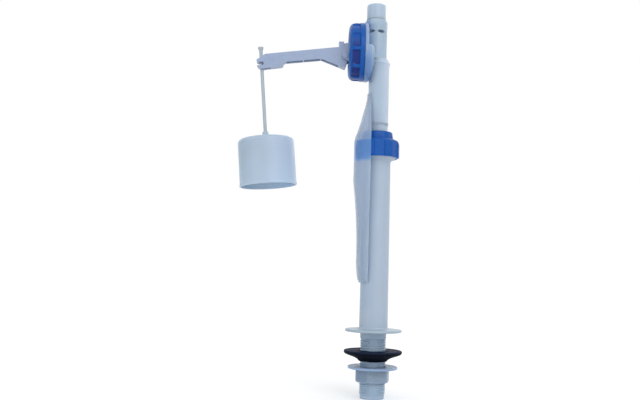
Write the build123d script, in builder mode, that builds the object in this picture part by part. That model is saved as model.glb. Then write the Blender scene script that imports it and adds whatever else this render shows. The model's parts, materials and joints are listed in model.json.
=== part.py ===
from build123d import *
from math import cos, pi, radians, sin
import os

# Bottom-inlet float valve. Millimetres, +Z up the stand pipe. The origin is the
# centre of the tank flange's underside, and the float hangs out along -X.

# ---- Clearances --------------------------------------------------------------
running_gap = 0.08
seat_gap = 0.05
free_gap = 0.3

# ---- Stand pipe: threaded shank, tank flange and outer tube ------------------
thread_radius = 10.48
thread_pitch = 1.814
thread_depth = 1.16
shank_length = 52.8
shank_bore = 6.0
nose_length = 2.6
nose_chamfer = 0.6
neck_length = 5.2
flange_radius = 22.8
flange_thickness = 2.0
flange_edge = 0.6
pipe_foot_radius = 11.5
pipe_top_radius = 10.9
pipe_bore = 9.1
foot_bore = 7.6
foot_step = 60.0
pipe_height = 137.6
collar_rise = 2.8
collar_radius = 15.2
collar_rim = 1.4
gland_thread_radius = 14.0
gland_thread_pitch = 2.0
gland_thread_length = 8.2
mouth_radius = 12.6
mouth_length = 2.4
mouth_depth = 4.0
mouth_bore = 10.4

# ---- Inlet strainer and flow restrictor inside the shank ---------------------
strainer_rim_radius = 7.6
strainer_rim = 1.35
strainer_radius = 5.7
strainer_wall = 0.8
strainer_length = 30.5
strainer_slots = 12
strainer_slot_width = 1.1
restrictor_thickness = 3.0
restrictor_bore = 1.8
restrictor_lip = 1.5
restrictor_lip_bore = 4.6

# ---- Washers and back nut on the shank ---------------------------------------
cone_top = -14.8
cone_height = 8.5
cone_rim_radius = 23.4
cone_rim_edge = 1.3
cone_hub_radius = 11.8
slip_top = -27.4
slip_thickness = 1.9
slip_radius = 20.0
nut_flats = 25.4
nut_height = 10.6
nut_turn = 79.0
nut_chamfer = 1.2

# ---- Blue lock nut, collet and gland seal ------------------------------------
lock_drop = 0.1
lock_skirt_height = 16.3
lock_band_height = 4.8
lock_radius = 17.9
lock_rounding = 4.0
lock_band_radius = 12.4
lock_band_taper = 0.5
lock_wall = 1.6
lock_flutes = 7
lock_flute_width = 8.7
lock_flute_depth = 1.5
lock_flute_turn = -88.0
band_flat_depth = 0.9
collet_height = 5.4
collet_radius = 11.9
collet_taper = 1.8
collet_slits = 6
collet_slit_width = 1.0
seal_height = 2.95

# ---- Riser: pressure pipe with its piston, inside the jacket tube ------------
riser_travel = 20.0
riser_radius = 4.6
riser_bore = 2.9
piston_length = 17.0
piston_groove_depth = 1.65
piston_groove_width = 2.4
piston_groove_first = 4.4
piston_groove_pitch = 5.8
piston_spigot = 7.0
jacket_radius = 8.1
jacket_bore = 7.2
jacket_top = 221.6
jacket_step_radius = 8.35
jacket_lip_height = 4.0
jacket_lip_radius = 9.0
window_height = 16.0
window_width = 9.0
small_ring_section = 0.5

# ---- Outlet shroud -----------------------------------------------------------
shroud_wall = 0.8
shroud_edge_x = -6.2
shroud_drop = 28.6
shroud_top_radius = 9.25
shroud_bulge_shoulder = 0.8
shroud_foot = 39.0
shroud_foot_radius = 12.7
strap_height = 1.6
strap_thickness = 0.4

# ---- Valve head --------------------------------------------------------------
barrel_x = -3.2
barrel_radius = 9.1
barrel_collar_radius = 9.3
barrel_rise = 26.9
barrel_taper = 2.0
barrel_collar_height = 4.0
barrel_mouth_radius = 8.1
vent_bore = 7.2
vent_depth = 19.0
vent_drop = 9.5
vent_height = 2.9
vent_width = 6.4
air_port_radius = 2.0
head_rise = 6.5
dish_back = -9.9
dish_front = -12.6
dish_wall = 1.5
rim_front = -20.4
rim_wall = 3.7
rim_clearance = 0.2
rim_thread_depth = 0.9
rim_thread_pitch = 3.0
hood_back = -4.65
hood_overhang = 0.6
hood_rim = 2.6
hood_step = 1.6
hood_lean = 0.9
hood_shoulder = 5.0
hood_wall = 2.5
hood_skin = 2.4
chin_drop = 25.7
nozzle_boss_radius = 5.6
nozzle_boss_front = -17.0
nozzle_radius = 4.6
nozzle_bore = 3.0
nozzle_back = -9.0
nozzle_lip_radius = 3.9
spigot_length = 7.6

# ---- Diaphragm chamber -------------------------------------------------------
bead_thickness = 1.6
web_thickness = 0.8
fold_inset = 4.1
fold_crest = 1.0
fold_foot = 2.9
fold_depth = 1.2
diaphragm_inset = 1.4
seat_disc_inset = 4.6
seat_disc_plate = 1.0
seat_disc_pad_radius = 5.0
seat_disc_lift = 1.2
pin_radius = 0.5
pin_length = 6.9
bleed_radius = 0.8

# ---- Front cover and ring nut ------------------------------------------------
cover_flange = 1.5
cover_face = -24.9
cover_wall = 1.0
cover_boss_gap = 0.3
cover_land = 1.2
cover_draft = 0.4
pilot_height = 5.0
pilot_radius = 2.2
pilot_tip = -27.95
pilot_bore = 0.6
cheek_gap = 4.3
cheek_thickness = 2.0
cheek_front = -28.3
cheek_rise = 5.9
cheek_drop = 9.3
cheek_eye_radius = 3.0
ring_front = -25.6
ring_back = -12.8
ring_radius = 23.5
ring_rounding = 5.2
ring_wall = 2.0
ring_lip = 6.3
ring_back_band = 3.9
ring_band_rise = 0.3
ring_pockets = 10
ring_pocket_width = 7.3
ring_pocket_depth = 1.3
ring_rib = 3.4
ring_rib_turn = 7.2

# ---- Cap on the barrel -------------------------------------------------------
cap_radius = 7.7
cap_height = 12.0
cap_wall = 1.4
cap_chamfer = 0.7
cap_plug_depth = 5.0
cap_gasket_thickness = 0.7

# ---- Float arm, drawn in its own plane from the pivot ------------------------
pivot_x = -27.9
pivot_drop = 4.5
pivot_radius = 1.5
pivot_head_radius = 2.3
pivot_head = 0.8
arm_droop = 5.0
arm_half_width = 3.9
arm_wall = 1.4
arm_hub_radius = 2.6
arm_top_start = 8.2
arm_top_end = 6.0
arm_tab_height = 12.4
arm_tab_width = 4.8
arm_face = 0.6
arm_stop_depth = 9.7
arm_wedge_length = 20.1
arm_lip_start = 50.0
jaw_root = 3.7
jaw_length = 3.8
pad_height = 9.5
pad_radius = 2.3
pad_thickness = 1.6
pad_stand = 0.5
jaw_mouth = 2.3
arm_bays = 3
arm_bay_start = 6.6
arm_bay_rib = 1.2

# ---- Float -------------------------------------------------------------------
rod_reach = 69.4
rod_radius = 1.42
rod_top = 12.7
rod_head_radius = 2.3
rod_head_length = 3.4
cup_top = -63.2
cup_bottom = -102.6
cup_radius = 22.9
cup_wall = 1.1
cup_rounding = 3.2
cup_crown = 0.8
cup_boss_radius = 2.3
cup_boss_top = -57.7
cup_boss_foot_radius = 5.2
rod_foot_radius = 2.2
rod_foot = 2.0

os.makedirs("parts", exist_ok=True)

# ---- Shared geometry ---------------------------------------------------------

tail = -shank_length
thread_root = thread_radius - thread_depth
collar_height = pipe_height + collar_rise
gland_thread_foot = collar_height + collar_rim
mouth_top = gland_thread_foot + gland_thread_length + mouth_length
mouth_floor = mouth_top - mouth_depth
lock_bottom = collar_height - lock_drop
lock_shoulder = lock_bottom + lock_skirt_height
lock_top = lock_shoulder + lock_band_height
restrictor_top = tail + strainer_length + seat_gap + restrictor_thickness
lock_bore = gland_thread_radius + running_gap
collet_base = mouth_top + seat_gap + seat_gap
piston_foot = foot_step + seat_gap
piston_radius = pipe_bore - running_gap - running_gap
piston_top = piston_foot + piston_length
groove_floor = piston_radius - piston_groove_depth
ring_height = jacket_top + head_rise
ring_bore = ring_radius - ring_wall
ring_opening = ring_radius - ring_lip
rim_thread_radius = ring_bore - rim_clearance
rim_bore = rim_thread_radius - rim_wall
diaphragm_radius = rim_thread_radius - diaphragm_inset
fold_radius = rim_bore - fold_inset
seat_disc_radius = fold_radius - seat_disc_inset
cover_boss_radius = ring_opening - cover_boss_gap
hood_radius = ring_radius + hood_overhang
barrel_top = ring_height + barrel_rise
barrel_shoulder = barrel_top - barrel_taper
barrel_collar_foot = barrel_shoulder - barrel_collar_height
vent_floor = barrel_top - vent_depth
vent_high = barrel_top - vent_drop
vent_low = vent_high - vent_height
chin_bottom = ring_height - chin_drop
spigot_bottom = jacket_top - spigot_length
shroud_top = jacket_top - shroud_drop
shroud_bulge_radius = lock_radius + free_gap + shroud_wall
shroud_bulge_top = lock_shoulder - lock_rounding + shroud_bulge_shoulder
shroud_bulge_bottom = lock_bottom + lock_wall - riser_travel
strap_share = 0.61
strap_radius_share = 0.5275
strap_top = shroud_top - strap_share * (shroud_top - shroud_bulge_top)
strap_line = shroud_top_radius + strap_radius_share * (shroud_bulge_radius - shroud_top_radius)
jacket_step = strap_top
window_high = shroud_top - shroud_wall - jacket_step_radius / 4
window_low = window_high - window_height
pivot_z = ring_height - pivot_drop
cap_top = barrel_top + cap_gasket_thickness + cap_height
arm_end = rod_reach - jaw_root
jaw_reach = rod_reach + jaw_length
diaphragm_front = rim_front - bead_thickness
cover_back = diaphragm_front - seat_gap
cover_rim_face = cover_back - cover_flange
ring_lip_back = cover_rim_face - seat_gap
pilot_floor = cover_face + cover_wall
pad_face = rim_front + free_gap + running_gap
riser_top = ring_height - nozzle_bore + free_gap + seat_gap
groove_near_top = riser_top - 3.0

ring_axis = Axis((0, 0, ring_height), (1, 0, 0))
barrel_axis = Axis((barrel_x, 0, 0), (0, 0, 1))
arm_tilt = radians(arm_droop)
arm_plane = Plane(
    origin=(pivot_x, 0, pivot_z),
    x_dir=(-cos(arm_tilt), 0, -sin(arm_tilt)),
    z_dir=(0, 1, 0),
)
arm_up = Vector(-sin(arm_tilt), 0, cos(arm_tilt))
rod_origin = arm_plane.from_local_coords((rod_reach, 0, 0))
rod_axis = Axis(tuple(rod_origin), tuple(arm_up))


def thread_rings(crest, depth, pitch, first, last):
    """Points (radius, height) of a thread drawn as rings, from first up to last."""
    points = []
    for turn in range(int((last - first) / pitch)):
        start = first + turn * pitch
        points.append((crest, start))
        points.append((crest, start + pitch / 4))
        points.append((crest - depth, start + pitch / 2))
        points.append((crest - depth, start + pitch * 2 / 3))
    points.append((crest, points[-1][1] + pitch / 4))
    return points


def arm_top(reach):
    """Height of the arm's top edge at a distance from the pivot."""
    share = (reach - arm_tab_width) / (arm_end - arm_tab_width)
    return arm_top_start + share * (arm_top_end - arm_top_start)


def write(piece, name):
    """Name a finished piece and save it as its own STEP file."""
    piece.label = name
    export_step(piece, f"parts/{name}.step")


# ---- Stand pipe --------------------------------------------------------------

with BuildPart() as stand_pipe:
    with BuildSketch(Plane.XZ):
        with BuildLine():
            nose_top = tail + nose_length
            shank_thread = thread_rings(
                thread_radius, thread_depth, thread_pitch, nose_top + thread_pitch / 4, -neck_length
            )
            gland_thread = thread_rings(
                gland_thread_radius, thread_depth, gland_thread_pitch,
                gland_thread_foot, gland_thread_foot + gland_thread_length,
            )
            Polyline(
                (strainer_rim_radius + running_gap, tail),
                (thread_root - nose_chamfer, tail),
                (thread_root, tail + nose_chamfer),
                (thread_root, nose_top),
                *shank_thread,
                (thread_radius, 0),
                (flange_radius - flange_edge, 0),
                (flange_radius, flange_edge),
                (flange_radius, flange_thickness - flange_edge),
                (flange_radius - flange_edge, flange_thickness),
                (pipe_foot_radius, flange_thickness),
                (pipe_top_radius, pipe_height),
                (collar_radius, collar_height),
                (collar_radius, gland_thread_foot),
                *gland_thread,
                (mouth_radius, gland_thread[-1][1]),
                (mouth_radius, mouth_top),
                (mouth_bore, mouth_top),
                (mouth_bore, mouth_floor),
                (pipe_bore, mouth_floor),
                (pipe_bore, foot_step),
                (foot_bore, foot_step),
                (foot_bore, -neck_length),
                (shank_bore, -neck_length - foot_bore + shank_bore),
                (shank_bore, restrictor_top + seat_gap + restrictor_lip),
                (restrictor_lip_bore, restrictor_top + seat_gap + restrictor_lip),
                (restrictor_lip_bore, restrictor_top + seat_gap),
                (shank_bore, restrictor_top + seat_gap),
                (shank_bore, tail + strainer_rim + seat_gap),
                (strainer_rim_radius + running_gap, tail + strainer_rim + seat_gap),
                close=True,
            )
        make_face()
    revolve(axis=Axis.Z)
write(stand_pipe.part, "stand_pipe")

# ---- Inlet strainer ----------------------------------------------------------

with BuildPart() as inlet_strainer:
    with BuildSketch(Plane.XZ):
        with BuildLine():
            cage = strainer_radius - strainer_wall
            Polyline(
                (cage, tail),
                (strainer_rim_radius, tail),
                (strainer_rim_radius, tail + strainer_rim),
                (strainer_radius, tail + strainer_rim),
                (strainer_radius, tail + strainer_length),
                (restrictor_bore, tail + strainer_length),
                (restrictor_bore, tail + strainer_length - strainer_wall),
                (cage, tail + strainer_length - strainer_wall),
                close=True,
            )
        make_face()
    revolve(axis=Axis.Z)
    slot_length = (strainer_length - strainer_rim) / 2 - 3 * strainer_wall
    for slot_foot in (
        tail + strainer_rim + 2 * strainer_wall,
        tail + strainer_length - 2 * strainer_wall - slot_length,
    ):
        with BuildSketch(Plane.XY.offset(slot_foot)):
            with PolarLocations(strainer_radius, strainer_slots):
                Rectangle(4 * strainer_wall, strainer_slot_width)
        extrude(amount=slot_length, mode=Mode.SUBTRACT)
write(inlet_strainer.part, "inlet_strainer")

# ---- Flow restrictor ---------------------------------------------------------

with BuildPart() as flow_restrictor:
    with BuildSketch(Plane.XY.offset(restrictor_top - restrictor_thickness)):
        Circle(shank_bore - running_gap)
        Circle(restrictor_bore, mode=Mode.SUBTRACT)
    extrude(amount=restrictor_thickness)
    chamfer(flow_restrictor.edges().group_by(Axis.Z)[0], length=restrictor_bore / 4)
write(flow_restrictor.part, "flow_restrictor")

# ---- Conical rubber washer ---------------------------------------------------

with BuildPart() as cone_washer:
    with BuildSketch(Plane.XZ):
        with BuildLine():
            Polyline(
                (thread_radius + running_gap, cone_top - cone_height),
                (cone_hub_radius - cone_rim_edge / 2, cone_top - cone_height),
                (cone_hub_radius, cone_top - cone_height + cone_rim_edge),
                (cone_rim_radius, cone_top - cone_rim_edge),
                (cone_rim_radius, cone_top),
                (thread_radius + running_gap, cone_top),
                close=True,
            )
        make_face()
    revolve(axis=Axis.Z)
    fillet(cone_washer.edges().filter_by(GeomType.CIRCLE).group_by(SortBy.RADIUS)[-1], cone_rim_edge / 3)
write(cone_washer.part, "cone_washer")

# ---- Slip washer -------------------------------------------------------------

with BuildPart() as slip_washer:
    with BuildSketch(Plane.XY.offset(slip_top - slip_thickness)):
        Circle(slip_radius)
        Circle(thread_radius + free_gap, mode=Mode.SUBTRACT)
    extrude(amount=slip_thickness)
    rounds = slip_washer.edges().filter_by(GeomType.CIRCLE)
    fillet(rounds.group_by(SortBy.RADIUS)[-1], slip_thickness / 3)
write(slip_washer.part, "slip_washer")

# ---- Hexagonal back nut ------------------------------------------------------

nut_top = slip_top - slip_thickness - seat_gap
with BuildPart() as back_nut:
    with BuildSketch(Plane.XY.offset(nut_top - nut_height)):
        RegularPolygon(nut_flats / 2, 6, major_radius=False, rotation=nut_turn)
    extrude(amount=nut_height)
    fillet(back_nut.edges().filter_by(Axis.Z), nut_chamfer)
    with BuildSketch(Plane.XY.offset(nut_top - nut_height)):
        Circle(thread_radius + running_gap)
    extrude(amount=nut_height, mode=Mode.SUBTRACT)
    chamfer(back_nut.faces().sort_by(Axis.Z)[0].edges(), length=nut_chamfer / 2)
write(back_nut.part, "back_nut")

# ---- Blue lock nut -----------------------------------------------------------

collet_top = collet_base + collet_height
cone_clearance = free_gap
with BuildPart() as lock_nut:
    with BuildSketch(Plane.XZ):
        with BuildLine():
            band_foot = lock_band_radius + lock_band_taper
            outer = Polyline(
                (lock_radius, lock_shoulder - lock_rounding),
                (lock_radius, lock_bottom + lock_wall),
                (lock_radius - lock_wall, lock_bottom),
                (collar_radius + free_gap, lock_bottom),
                (collar_radius + free_gap, gland_thread_foot + free_gap),
                (lock_bore, gland_thread_foot + free_gap),
                (lock_bore, mouth_top - seat_gap - 1.2),
                (mouth_radius + free_gap, mouth_top - seat_gap - 1.2),
                (mouth_radius + free_gap, mouth_top),
                (collet_radius + cone_clearance, collet_base + seat_gap),
                (collet_radius - collet_taper + cone_clearance, collet_top + seat_gap),
                (jacket_radius + 2 * free_gap, collet_top + seat_gap),
                (jacket_radius + 2 * free_gap, lock_top),
                (lock_band_radius - lock_wall / 2, lock_top),
                (lock_band_radius, lock_top - lock_wall / 2),
                (band_foot, lock_shoulder),
                (lock_radius - lock_rounding, lock_shoulder),
            )
            RadiusArc(outer @ 1, outer @ 0, lock_rounding)
        make_face()
    revolve(axis=Axis.Z)
    with BuildSketch(Plane.XY.offset(lock_bottom)):
        with PolarLocations(lock_radius - lock_flute_depth, lock_flutes, start_angle=lock_flute_turn):
            Rectangle(
                2 * lock_flute_depth, lock_flute_width, align=(Align.MIN, Align.CENTER)
            )
    extrude(amount=lock_shoulder - lock_bottom - lock_rounding / 2, mode=Mode.SUBTRACT)
    with BuildSketch(Plane.XY.offset(lock_shoulder)):
        with PolarLocations(band_foot - band_flat_depth, lock_flutes, start_angle=lock_flute_turn):
            Rectangle(
                2 * lock_flute_depth, lock_flute_width, align=(Align.MIN, Align.CENTER)
            )
    extrude(amount=lock_top - lock_shoulder - lock_wall / 2, mode=Mode.SUBTRACT)
write(lock_nut.part, "lock_nut")

# ---- Split collet ------------------------------------------------------------

with BuildPart() as clamp_collet:
    with BuildSketch(Plane.XZ):
        with BuildLine():
            collet_bore = jacket_radius + running_gap
            foot_radius = mouth_bore - running_gap
            Polyline(
                (collet_bore, mouth_floor + seal_height + 2 * seat_gap),
                (foot_radius, mouth_floor + seal_height + 2 * seat_gap),
                (foot_radius, collet_base),
                (collet_radius, collet_base),
                (collet_radius - collet_taper, collet_top),
                (collet_bore, collet_top),
                close=True,
            )
        make_face()
    revolve(axis=Axis.Z)
    with BuildSketch(Plane.XY.offset(collet_base)):
        with PolarLocations(collet_radius, collet_slits):
            Rectangle(2 * collet_radius - 2 * collet_bore + 2, collet_slit_width)
    extrude(amount=collet_height, mode=Mode.SUBTRACT)
write(clamp_collet.part, "clamp_collet")

# ---- Gland seal --------------------------------------------------------------

with BuildPart() as gland_seal:
    with BuildSketch(Plane.XY.offset(mouth_floor + seat_gap)):
        Circle(mouth_bore - running_gap)
        Circle(jacket_radius + running_gap, mode=Mode.SUBTRACT)
    extrude(amount=seal_height)
write(gland_seal.part, "gland_seal")

# ---- Riser pipe and piston ---------------------------------------------------

grooves = []
for groove in range(2):
    groove_foot = piston_foot + piston_groove_first + groove * piston_groove_pitch
    grooves.append((piston_radius, groove_foot))
    grooves.append((groove_floor, groove_foot))
    grooves.append((groove_floor, groove_foot + piston_groove_width))
    grooves.append((piston_radius, groove_foot + piston_groove_width))

with BuildPart() as riser_pipe:
    with BuildSketch(Plane.XZ):
        with BuildLine():
            small_floor = riser_radius - 2 * small_ring_section + running_gap
            Polyline(
                (shank_bore, piston_foot),
                (piston_radius, piston_foot),
                *grooves,
                (piston_radius, piston_top),
                (jacket_bore - running_gap, piston_top),
                (jacket_bore - running_gap, piston_top + piston_spigot),
                (riser_radius, piston_top + piston_spigot),
                (riser_radius, groove_near_top),
                (small_floor, groove_near_top),
                (small_floor, groove_near_top + 3 * small_ring_section),
                (riser_radius, groove_near_top + 3 * small_ring_section),
                (riser_radius, riser_top),
                (riser_bore, riser_top),
                (riser_bore, piston_foot + piston_length / 2),
                close=True,
            )
        make_face()
    revolve(axis=Axis.Z)
write(riser_pipe.part, "riser_pipe")

# ---- O-rings -----------------------------------------------------------------

ring_section = (piston_radius - groove_floor + running_gap) / 2
with BuildPart() as piston_rings:
    with BuildSketch(Plane.XZ):
        for groove in range(2):
            groove_foot = piston_foot + piston_groove_first + groove * piston_groove_pitch
            with Locations((groove_floor + seat_gap + ring_section, groove_foot + piston_groove_width / 2)):
                Circle(ring_section)
    revolve(axis=Axis.Z)
write(piston_rings.part, "piston_rings")

with BuildPart() as head_ring:
    with BuildSketch(Plane.XZ):
        with Locations(
            (small_floor + seat_gap + small_ring_section, groove_near_top + 1.5 * small_ring_section)
        ):
            Circle(small_ring_section)
    revolve(axis=Axis.Z)
write(head_ring.part, "head_ring")

# ---- Jacket tube -------------------------------------------------------------

with BuildPart() as jacket_tube:
    with BuildSketch(Plane.XZ):
        with BuildLine():
            step_rise = jacket_step_radius - jacket_radius
            lip_foot = jacket_top - jacket_lip_height
            Polyline(
                (jacket_bore, piston_top + seat_gap),
                (jacket_radius, piston_top + seat_gap),
                (jacket_radius, jacket_step),
                (jacket_step_radius, jacket_step + step_rise),
                (jacket_step_radius, lip_foot),
                (jacket_lip_radius, lip_foot + step_rise),
                (jacket_lip_radius, lip_foot + 3 * step_rise),
                (jacket_bore + step_rise, jacket_top),
                (jacket_bore, jacket_top),
                close=True,
            )
        make_face()
    revolve(axis=Axis.Z)
    # The head's outlet hood stands where the upper left of the tube is cut away.
    with BuildSketch(Plane.XY.offset(chin_bottom - seat_gap)):
        with Locations((hood_back + seat_gap, 0)):
            Rectangle(jacket_lip_radius, 3 * jacket_lip_radius, align=(Align.MAX, Align.CENTER))
    extrude(amount=jacket_top - chin_bottom + 1, mode=Mode.SUBTRACT)
    with BuildSketch(Plane.XY.offset(window_low)):
        with Locations((hood_back, 0)):
            Rectangle(jacket_lip_radius, window_width, align=(Align.MAX, Align.CENTER))
    extrude(amount=window_high - window_low, mode=Mode.SUBTRACT)
write(jacket_tube.part, "jacket_tube")

# ---- Outlet shroud -----------------------------------------------------------


def shroud_point(share, radius_share, inset):
    """A point of the shroud's upper side line, by its share of the way down and out to the bulge."""
    radius = shroud_top_radius + radius_share * (shroud_bulge_radius - shroud_top_radius)
    return (radius - inset, shroud_top - share * (shroud_top - shroud_bulge_top))


def shroud_taper(share, radius_share, inset):
    """A point of the shroud's lower side line, by its share of the way down and in to the foot."""
    radius = shroud_bulge_radius + radius_share * (shroud_foot_radius - shroud_bulge_radius)
    return (radius - inset, shroud_bulge_bottom - share * (shroud_bulge_bottom - shroud_foot))


def shroud_line(inset):
    """The shroud's side line, drawn inwards by inset: neck, bulge round the lock nut, long taper."""
    upper = Spline(
        shroud_point(0, 0, inset),
        shroud_point(0.16, 0.06, inset),
        shroud_point(0.42, 0.33, inset),
        shroud_point(strap_share, strap_radius_share, inset),
        shroud_point(0.74, 0.69, inset),
        shroud_point(0.88, 0.89, inset),
        shroud_point(1, 1, inset),
        tangents=((0, -1), (0.15, -1)),
    )
    middle = Line(upper @ 1, (shroud_bulge_radius - inset, shroud_bulge_bottom))
    lower = Spline(
        middle @ 1,
        shroud_taper(0.33, 0.41, inset),
        shroud_taper(0.75, 0.60, inset),
        shroud_taper(0.93, 0.73, inset),
        shroud_taper(1, 1, inset),
        tangents=((-0.1, -1), (-0.7, -1)),
    )
    return upper @ 0, lower @ 1


with BuildPart() as outlet_shroud:
    with BuildSketch(Plane.XZ):
        with BuildLine():
            outer_ends = shroud_line(0)
            inner_ends = shroud_line(shroud_wall)
            Line(outer_ends[0], inner_ends[0])
            Line(outer_ends[1], inner_ends[1])
        make_face()
    revolve(axis=Axis.Z)
    # Only the side facing the float is kept, so the shroud is a long open channel.
    with BuildSketch(Plane.XY.offset(shroud_foot - 1)):
        with Locations((shroud_edge_x, 0)):
            Rectangle(
                2 * shroud_bulge_radius, 3 * shroud_bulge_radius, align=(Align.MAX, Align.CENTER)
            )
    extrude(amount=shroud_top - shroud_foot + 2, mode=Mode.INTERSECT)
    # A strap snaps round the jacket, with a web to the channel on each side.
    strap_bore = jacket_radius + running_gap
    with BuildSketch(Plane.XY.offset(strap_top - strap_height)):
        Circle(strap_line - shroud_wall / 2)
        with Locations((shroud_edge_x - shroud_wall / 2, 0)):
            Rectangle(2 * shroud_wall, 2 * strap_line, mode=Mode.INTERSECT)
            Rectangle(2 * shroud_wall, window_width, mode=Mode.SUBTRACT)
        Circle(strap_bore + strap_thickness)
        Circle(strap_bore, mode=Mode.SUBTRACT)
    extrude(amount=strap_height)
write(outlet_shroud.part, "outlet_shroud")

# ---- Head body ---------------------------------------------------------------

hood_floor = hood_back - hood_wall

with BuildPart() as chamber_void:
    with BuildSketch(Plane.XZ):
        with BuildLine():
            Polyline(
                (dish_front, ring_height + hood_radius - hood_skin),
                (dish_back + hood_lean, ring_height + hood_radius - hood_skin - 0.2),
                (hood_floor - hood_lean, ring_height + rim_bore),
                (hood_floor, ring_height + rim_bore - hood_shoulder),
                (hood_floor, ring_height + nozzle_boss_radius),
                (dish_front, ring_height + nozzle_boss_radius),
                close=True,
            )
        make_face()
    revolve(axis=ring_axis)
    split(bisect_by=Plane.XY.offset(ring_height), keep=Keep.BOTTOM)
    with BuildSketch(Plane.XZ):
        with BuildLine():
            Polyline(
                (rim_front - 1, ring_height + rim_bore),
                (dish_back - dish_wall, ring_height + rim_bore),
                (dish_back - dish_wall, ring_height + nozzle_boss_radius),
                (nozzle_boss_front, ring_height + nozzle_boss_radius),
                (nozzle_boss_front, ring_height),
                (rim_front - 1, ring_height),
                close=True,
            )
        make_face()
    revolve(axis=ring_axis)

with BuildPart() as head_body:
    # Outlet hood: the lower half of a shallow dome behind the ring.
    with BuildSketch(Plane.XZ):
        with BuildLine():
            Polyline(
                (dish_front, ring_height),
                (dish_front, ring_height + hood_radius),
                (dish_back, ring_height + hood_radius),
                (dish_back + hood_rim, ring_height + hood_radius - hood_step),
                (hood_back - hood_lean, ring_height + rim_bore),
                (hood_back, ring_height + rim_bore - hood_shoulder),
                (hood_back, ring_height),
                close=True,
            )
        make_face()
    revolve(axis=ring_axis)
    split(bisect_by=Plane.XY.offset(ring_height), keep=Keep.BOTTOM)
    # Flange and threaded rim that the ring nut screws on.
    with BuildSketch(Plane.XZ):
        with BuildLine():
            rim_thread = thread_rings(
                ring_height + rim_thread_radius, rim_thread_depth, rim_thread_pitch,
                rim_front + 0.6, dish_front - 0.4,
            )
            Polyline(
                (rim_front, ring_height),
                (rim_front, ring_height + rim_thread_radius - rim_thread_depth),
                *[(height, radius) for radius, height in rim_thread],
                (dish_front, ring_height + rim_thread_radius - rim_thread_depth),
                (dish_front, ring_height + ring_radius),
                (dish_back, ring_height + ring_radius),
                (dish_back, ring_height),
                close=True,
            )
        make_face()
    revolve(axis=ring_axis)
    # Chin that completes the jacket's round below the hood.
    with BuildSketch(Plane.XY.offset(chin_bottom)):
        Circle(jacket_step_radius)
        with Locations((hood_back, 0)):
            Rectangle(
                jacket_lip_radius, 3 * jacket_lip_radius,
                align=(Align.MAX, Align.CENTER), mode=Mode.INTERSECT,
            )
    extrude(amount=jacket_top - chin_bottom)
    add(chamber_void.part, mode=Mode.SUBTRACT)
    # Upright barrel.
    with BuildSketch(Plane.XZ):
        with BuildLine():
            Polyline(
                (barrel_x, jacket_top + seat_gap),
                (barrel_x + barrel_radius, jacket_top + seat_gap),
                (barrel_x + barrel_radius, barrel_collar_foot),
                (barrel_x + barrel_collar_radius, barrel_collar_foot + free_gap),
                (barrel_x + barrel_collar_radius, barrel_shoulder),
                (barrel_x + barrel_mouth_radius, barrel_top),
                (barrel_x, barrel_top),
                close=True,
            )
        make_face()
    revolve(axis=barrel_axis)
    # Spigot that enters the jacket's top.
    with BuildSketch(Plane.XY.offset(spigot_bottom)):
        Circle(jacket_bore - running_gap)
        with Locations((hood_back, 0)):
            Rectangle(
                jacket_lip_radius, 3 * jacket_lip_radius,
                align=(Align.MAX, Align.CENTER), mode=Mode.SUBTRACT,
            )
    extrude(amount=jacket_top + seat_gap - spigot_bottom)
    # Riser socket, elbow and nozzle seat.
    with BuildSketch(Plane.XY.offset(spigot_bottom)):
        Circle(riser_radius + 2 * running_gap)
    extrude(amount=riser_top + seat_gap - spigot_bottom, mode=Mode.SUBTRACT)
    with BuildSketch(Plane.XY.offset(spigot_bottom)):
        Circle(riser_bore)
    extrude(amount=ring_height - spigot_bottom, mode=Mode.SUBTRACT)
    with BuildSketch(Plane((riser_bore, 0, ring_height), x_dir=(0, 1, 0), z_dir=(-1, 0, 0))):
        Circle(riser_bore)
    extrude(amount=riser_bore - rim_front, mode=Mode.SUBTRACT)
    with BuildSketch(Plane((nozzle_back, 0, ring_height), x_dir=(0, 1, 0), z_dir=(-1, 0, 0))):
        Circle(nozzle_radius + running_gap)
    extrude(amount=nozzle_back - rim_front, mode=Mode.SUBTRACT)
    # Outlet slot down into the jacket.
    with BuildSketch(Plane.XY.offset(chin_bottom)):
        with Locations((hood_floor - 0.1, 0)):
            Rectangle(1.5, window_width - 1, align=(Align.MIN, Align.CENTER))
    extrude(amount=spigot_bottom - chin_bottom, mode=Mode.SUBTRACT)
    # Vent chamber under the cap, its windows and the air port to the outlet side.
    with BuildSketch(Plane.XY.offset(vent_floor)):
        with Locations((barrel_x, 0)):
            Circle(vent_bore)
    extrude(amount=barrel_top - vent_floor, mode=Mode.SUBTRACT)
    for vent_turn in (-120, -65, 0, 65, 120):
        vent_plane = Plane(
            origin=(barrel_x, 0, (vent_high + vent_low) / 2),
            x_dir=(-sin(radians(vent_turn)), cos(radians(vent_turn)), 0),
            z_dir=(cos(radians(vent_turn)), sin(radians(vent_turn)), 0),
        )
        with BuildSketch(vent_plane):
            Ellipse(vent_width / 2, vent_height / 2)
        extrude(amount=barrel_collar_radius + 1, mode=Mode.SUBTRACT)
    with BuildSketch(Plane((barrel_x, 0, (vent_floor + vent_low) / 2), x_dir=(0, 1, 0), z_dir=(-1, 0, 0))):
        Circle(air_port_radius)
    extrude(amount=barrel_radius + 1, mode=Mode.SUBTRACT)
write(head_body.part, "head_body")

# ---- Nozzle seat -------------------------------------------------------------

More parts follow.
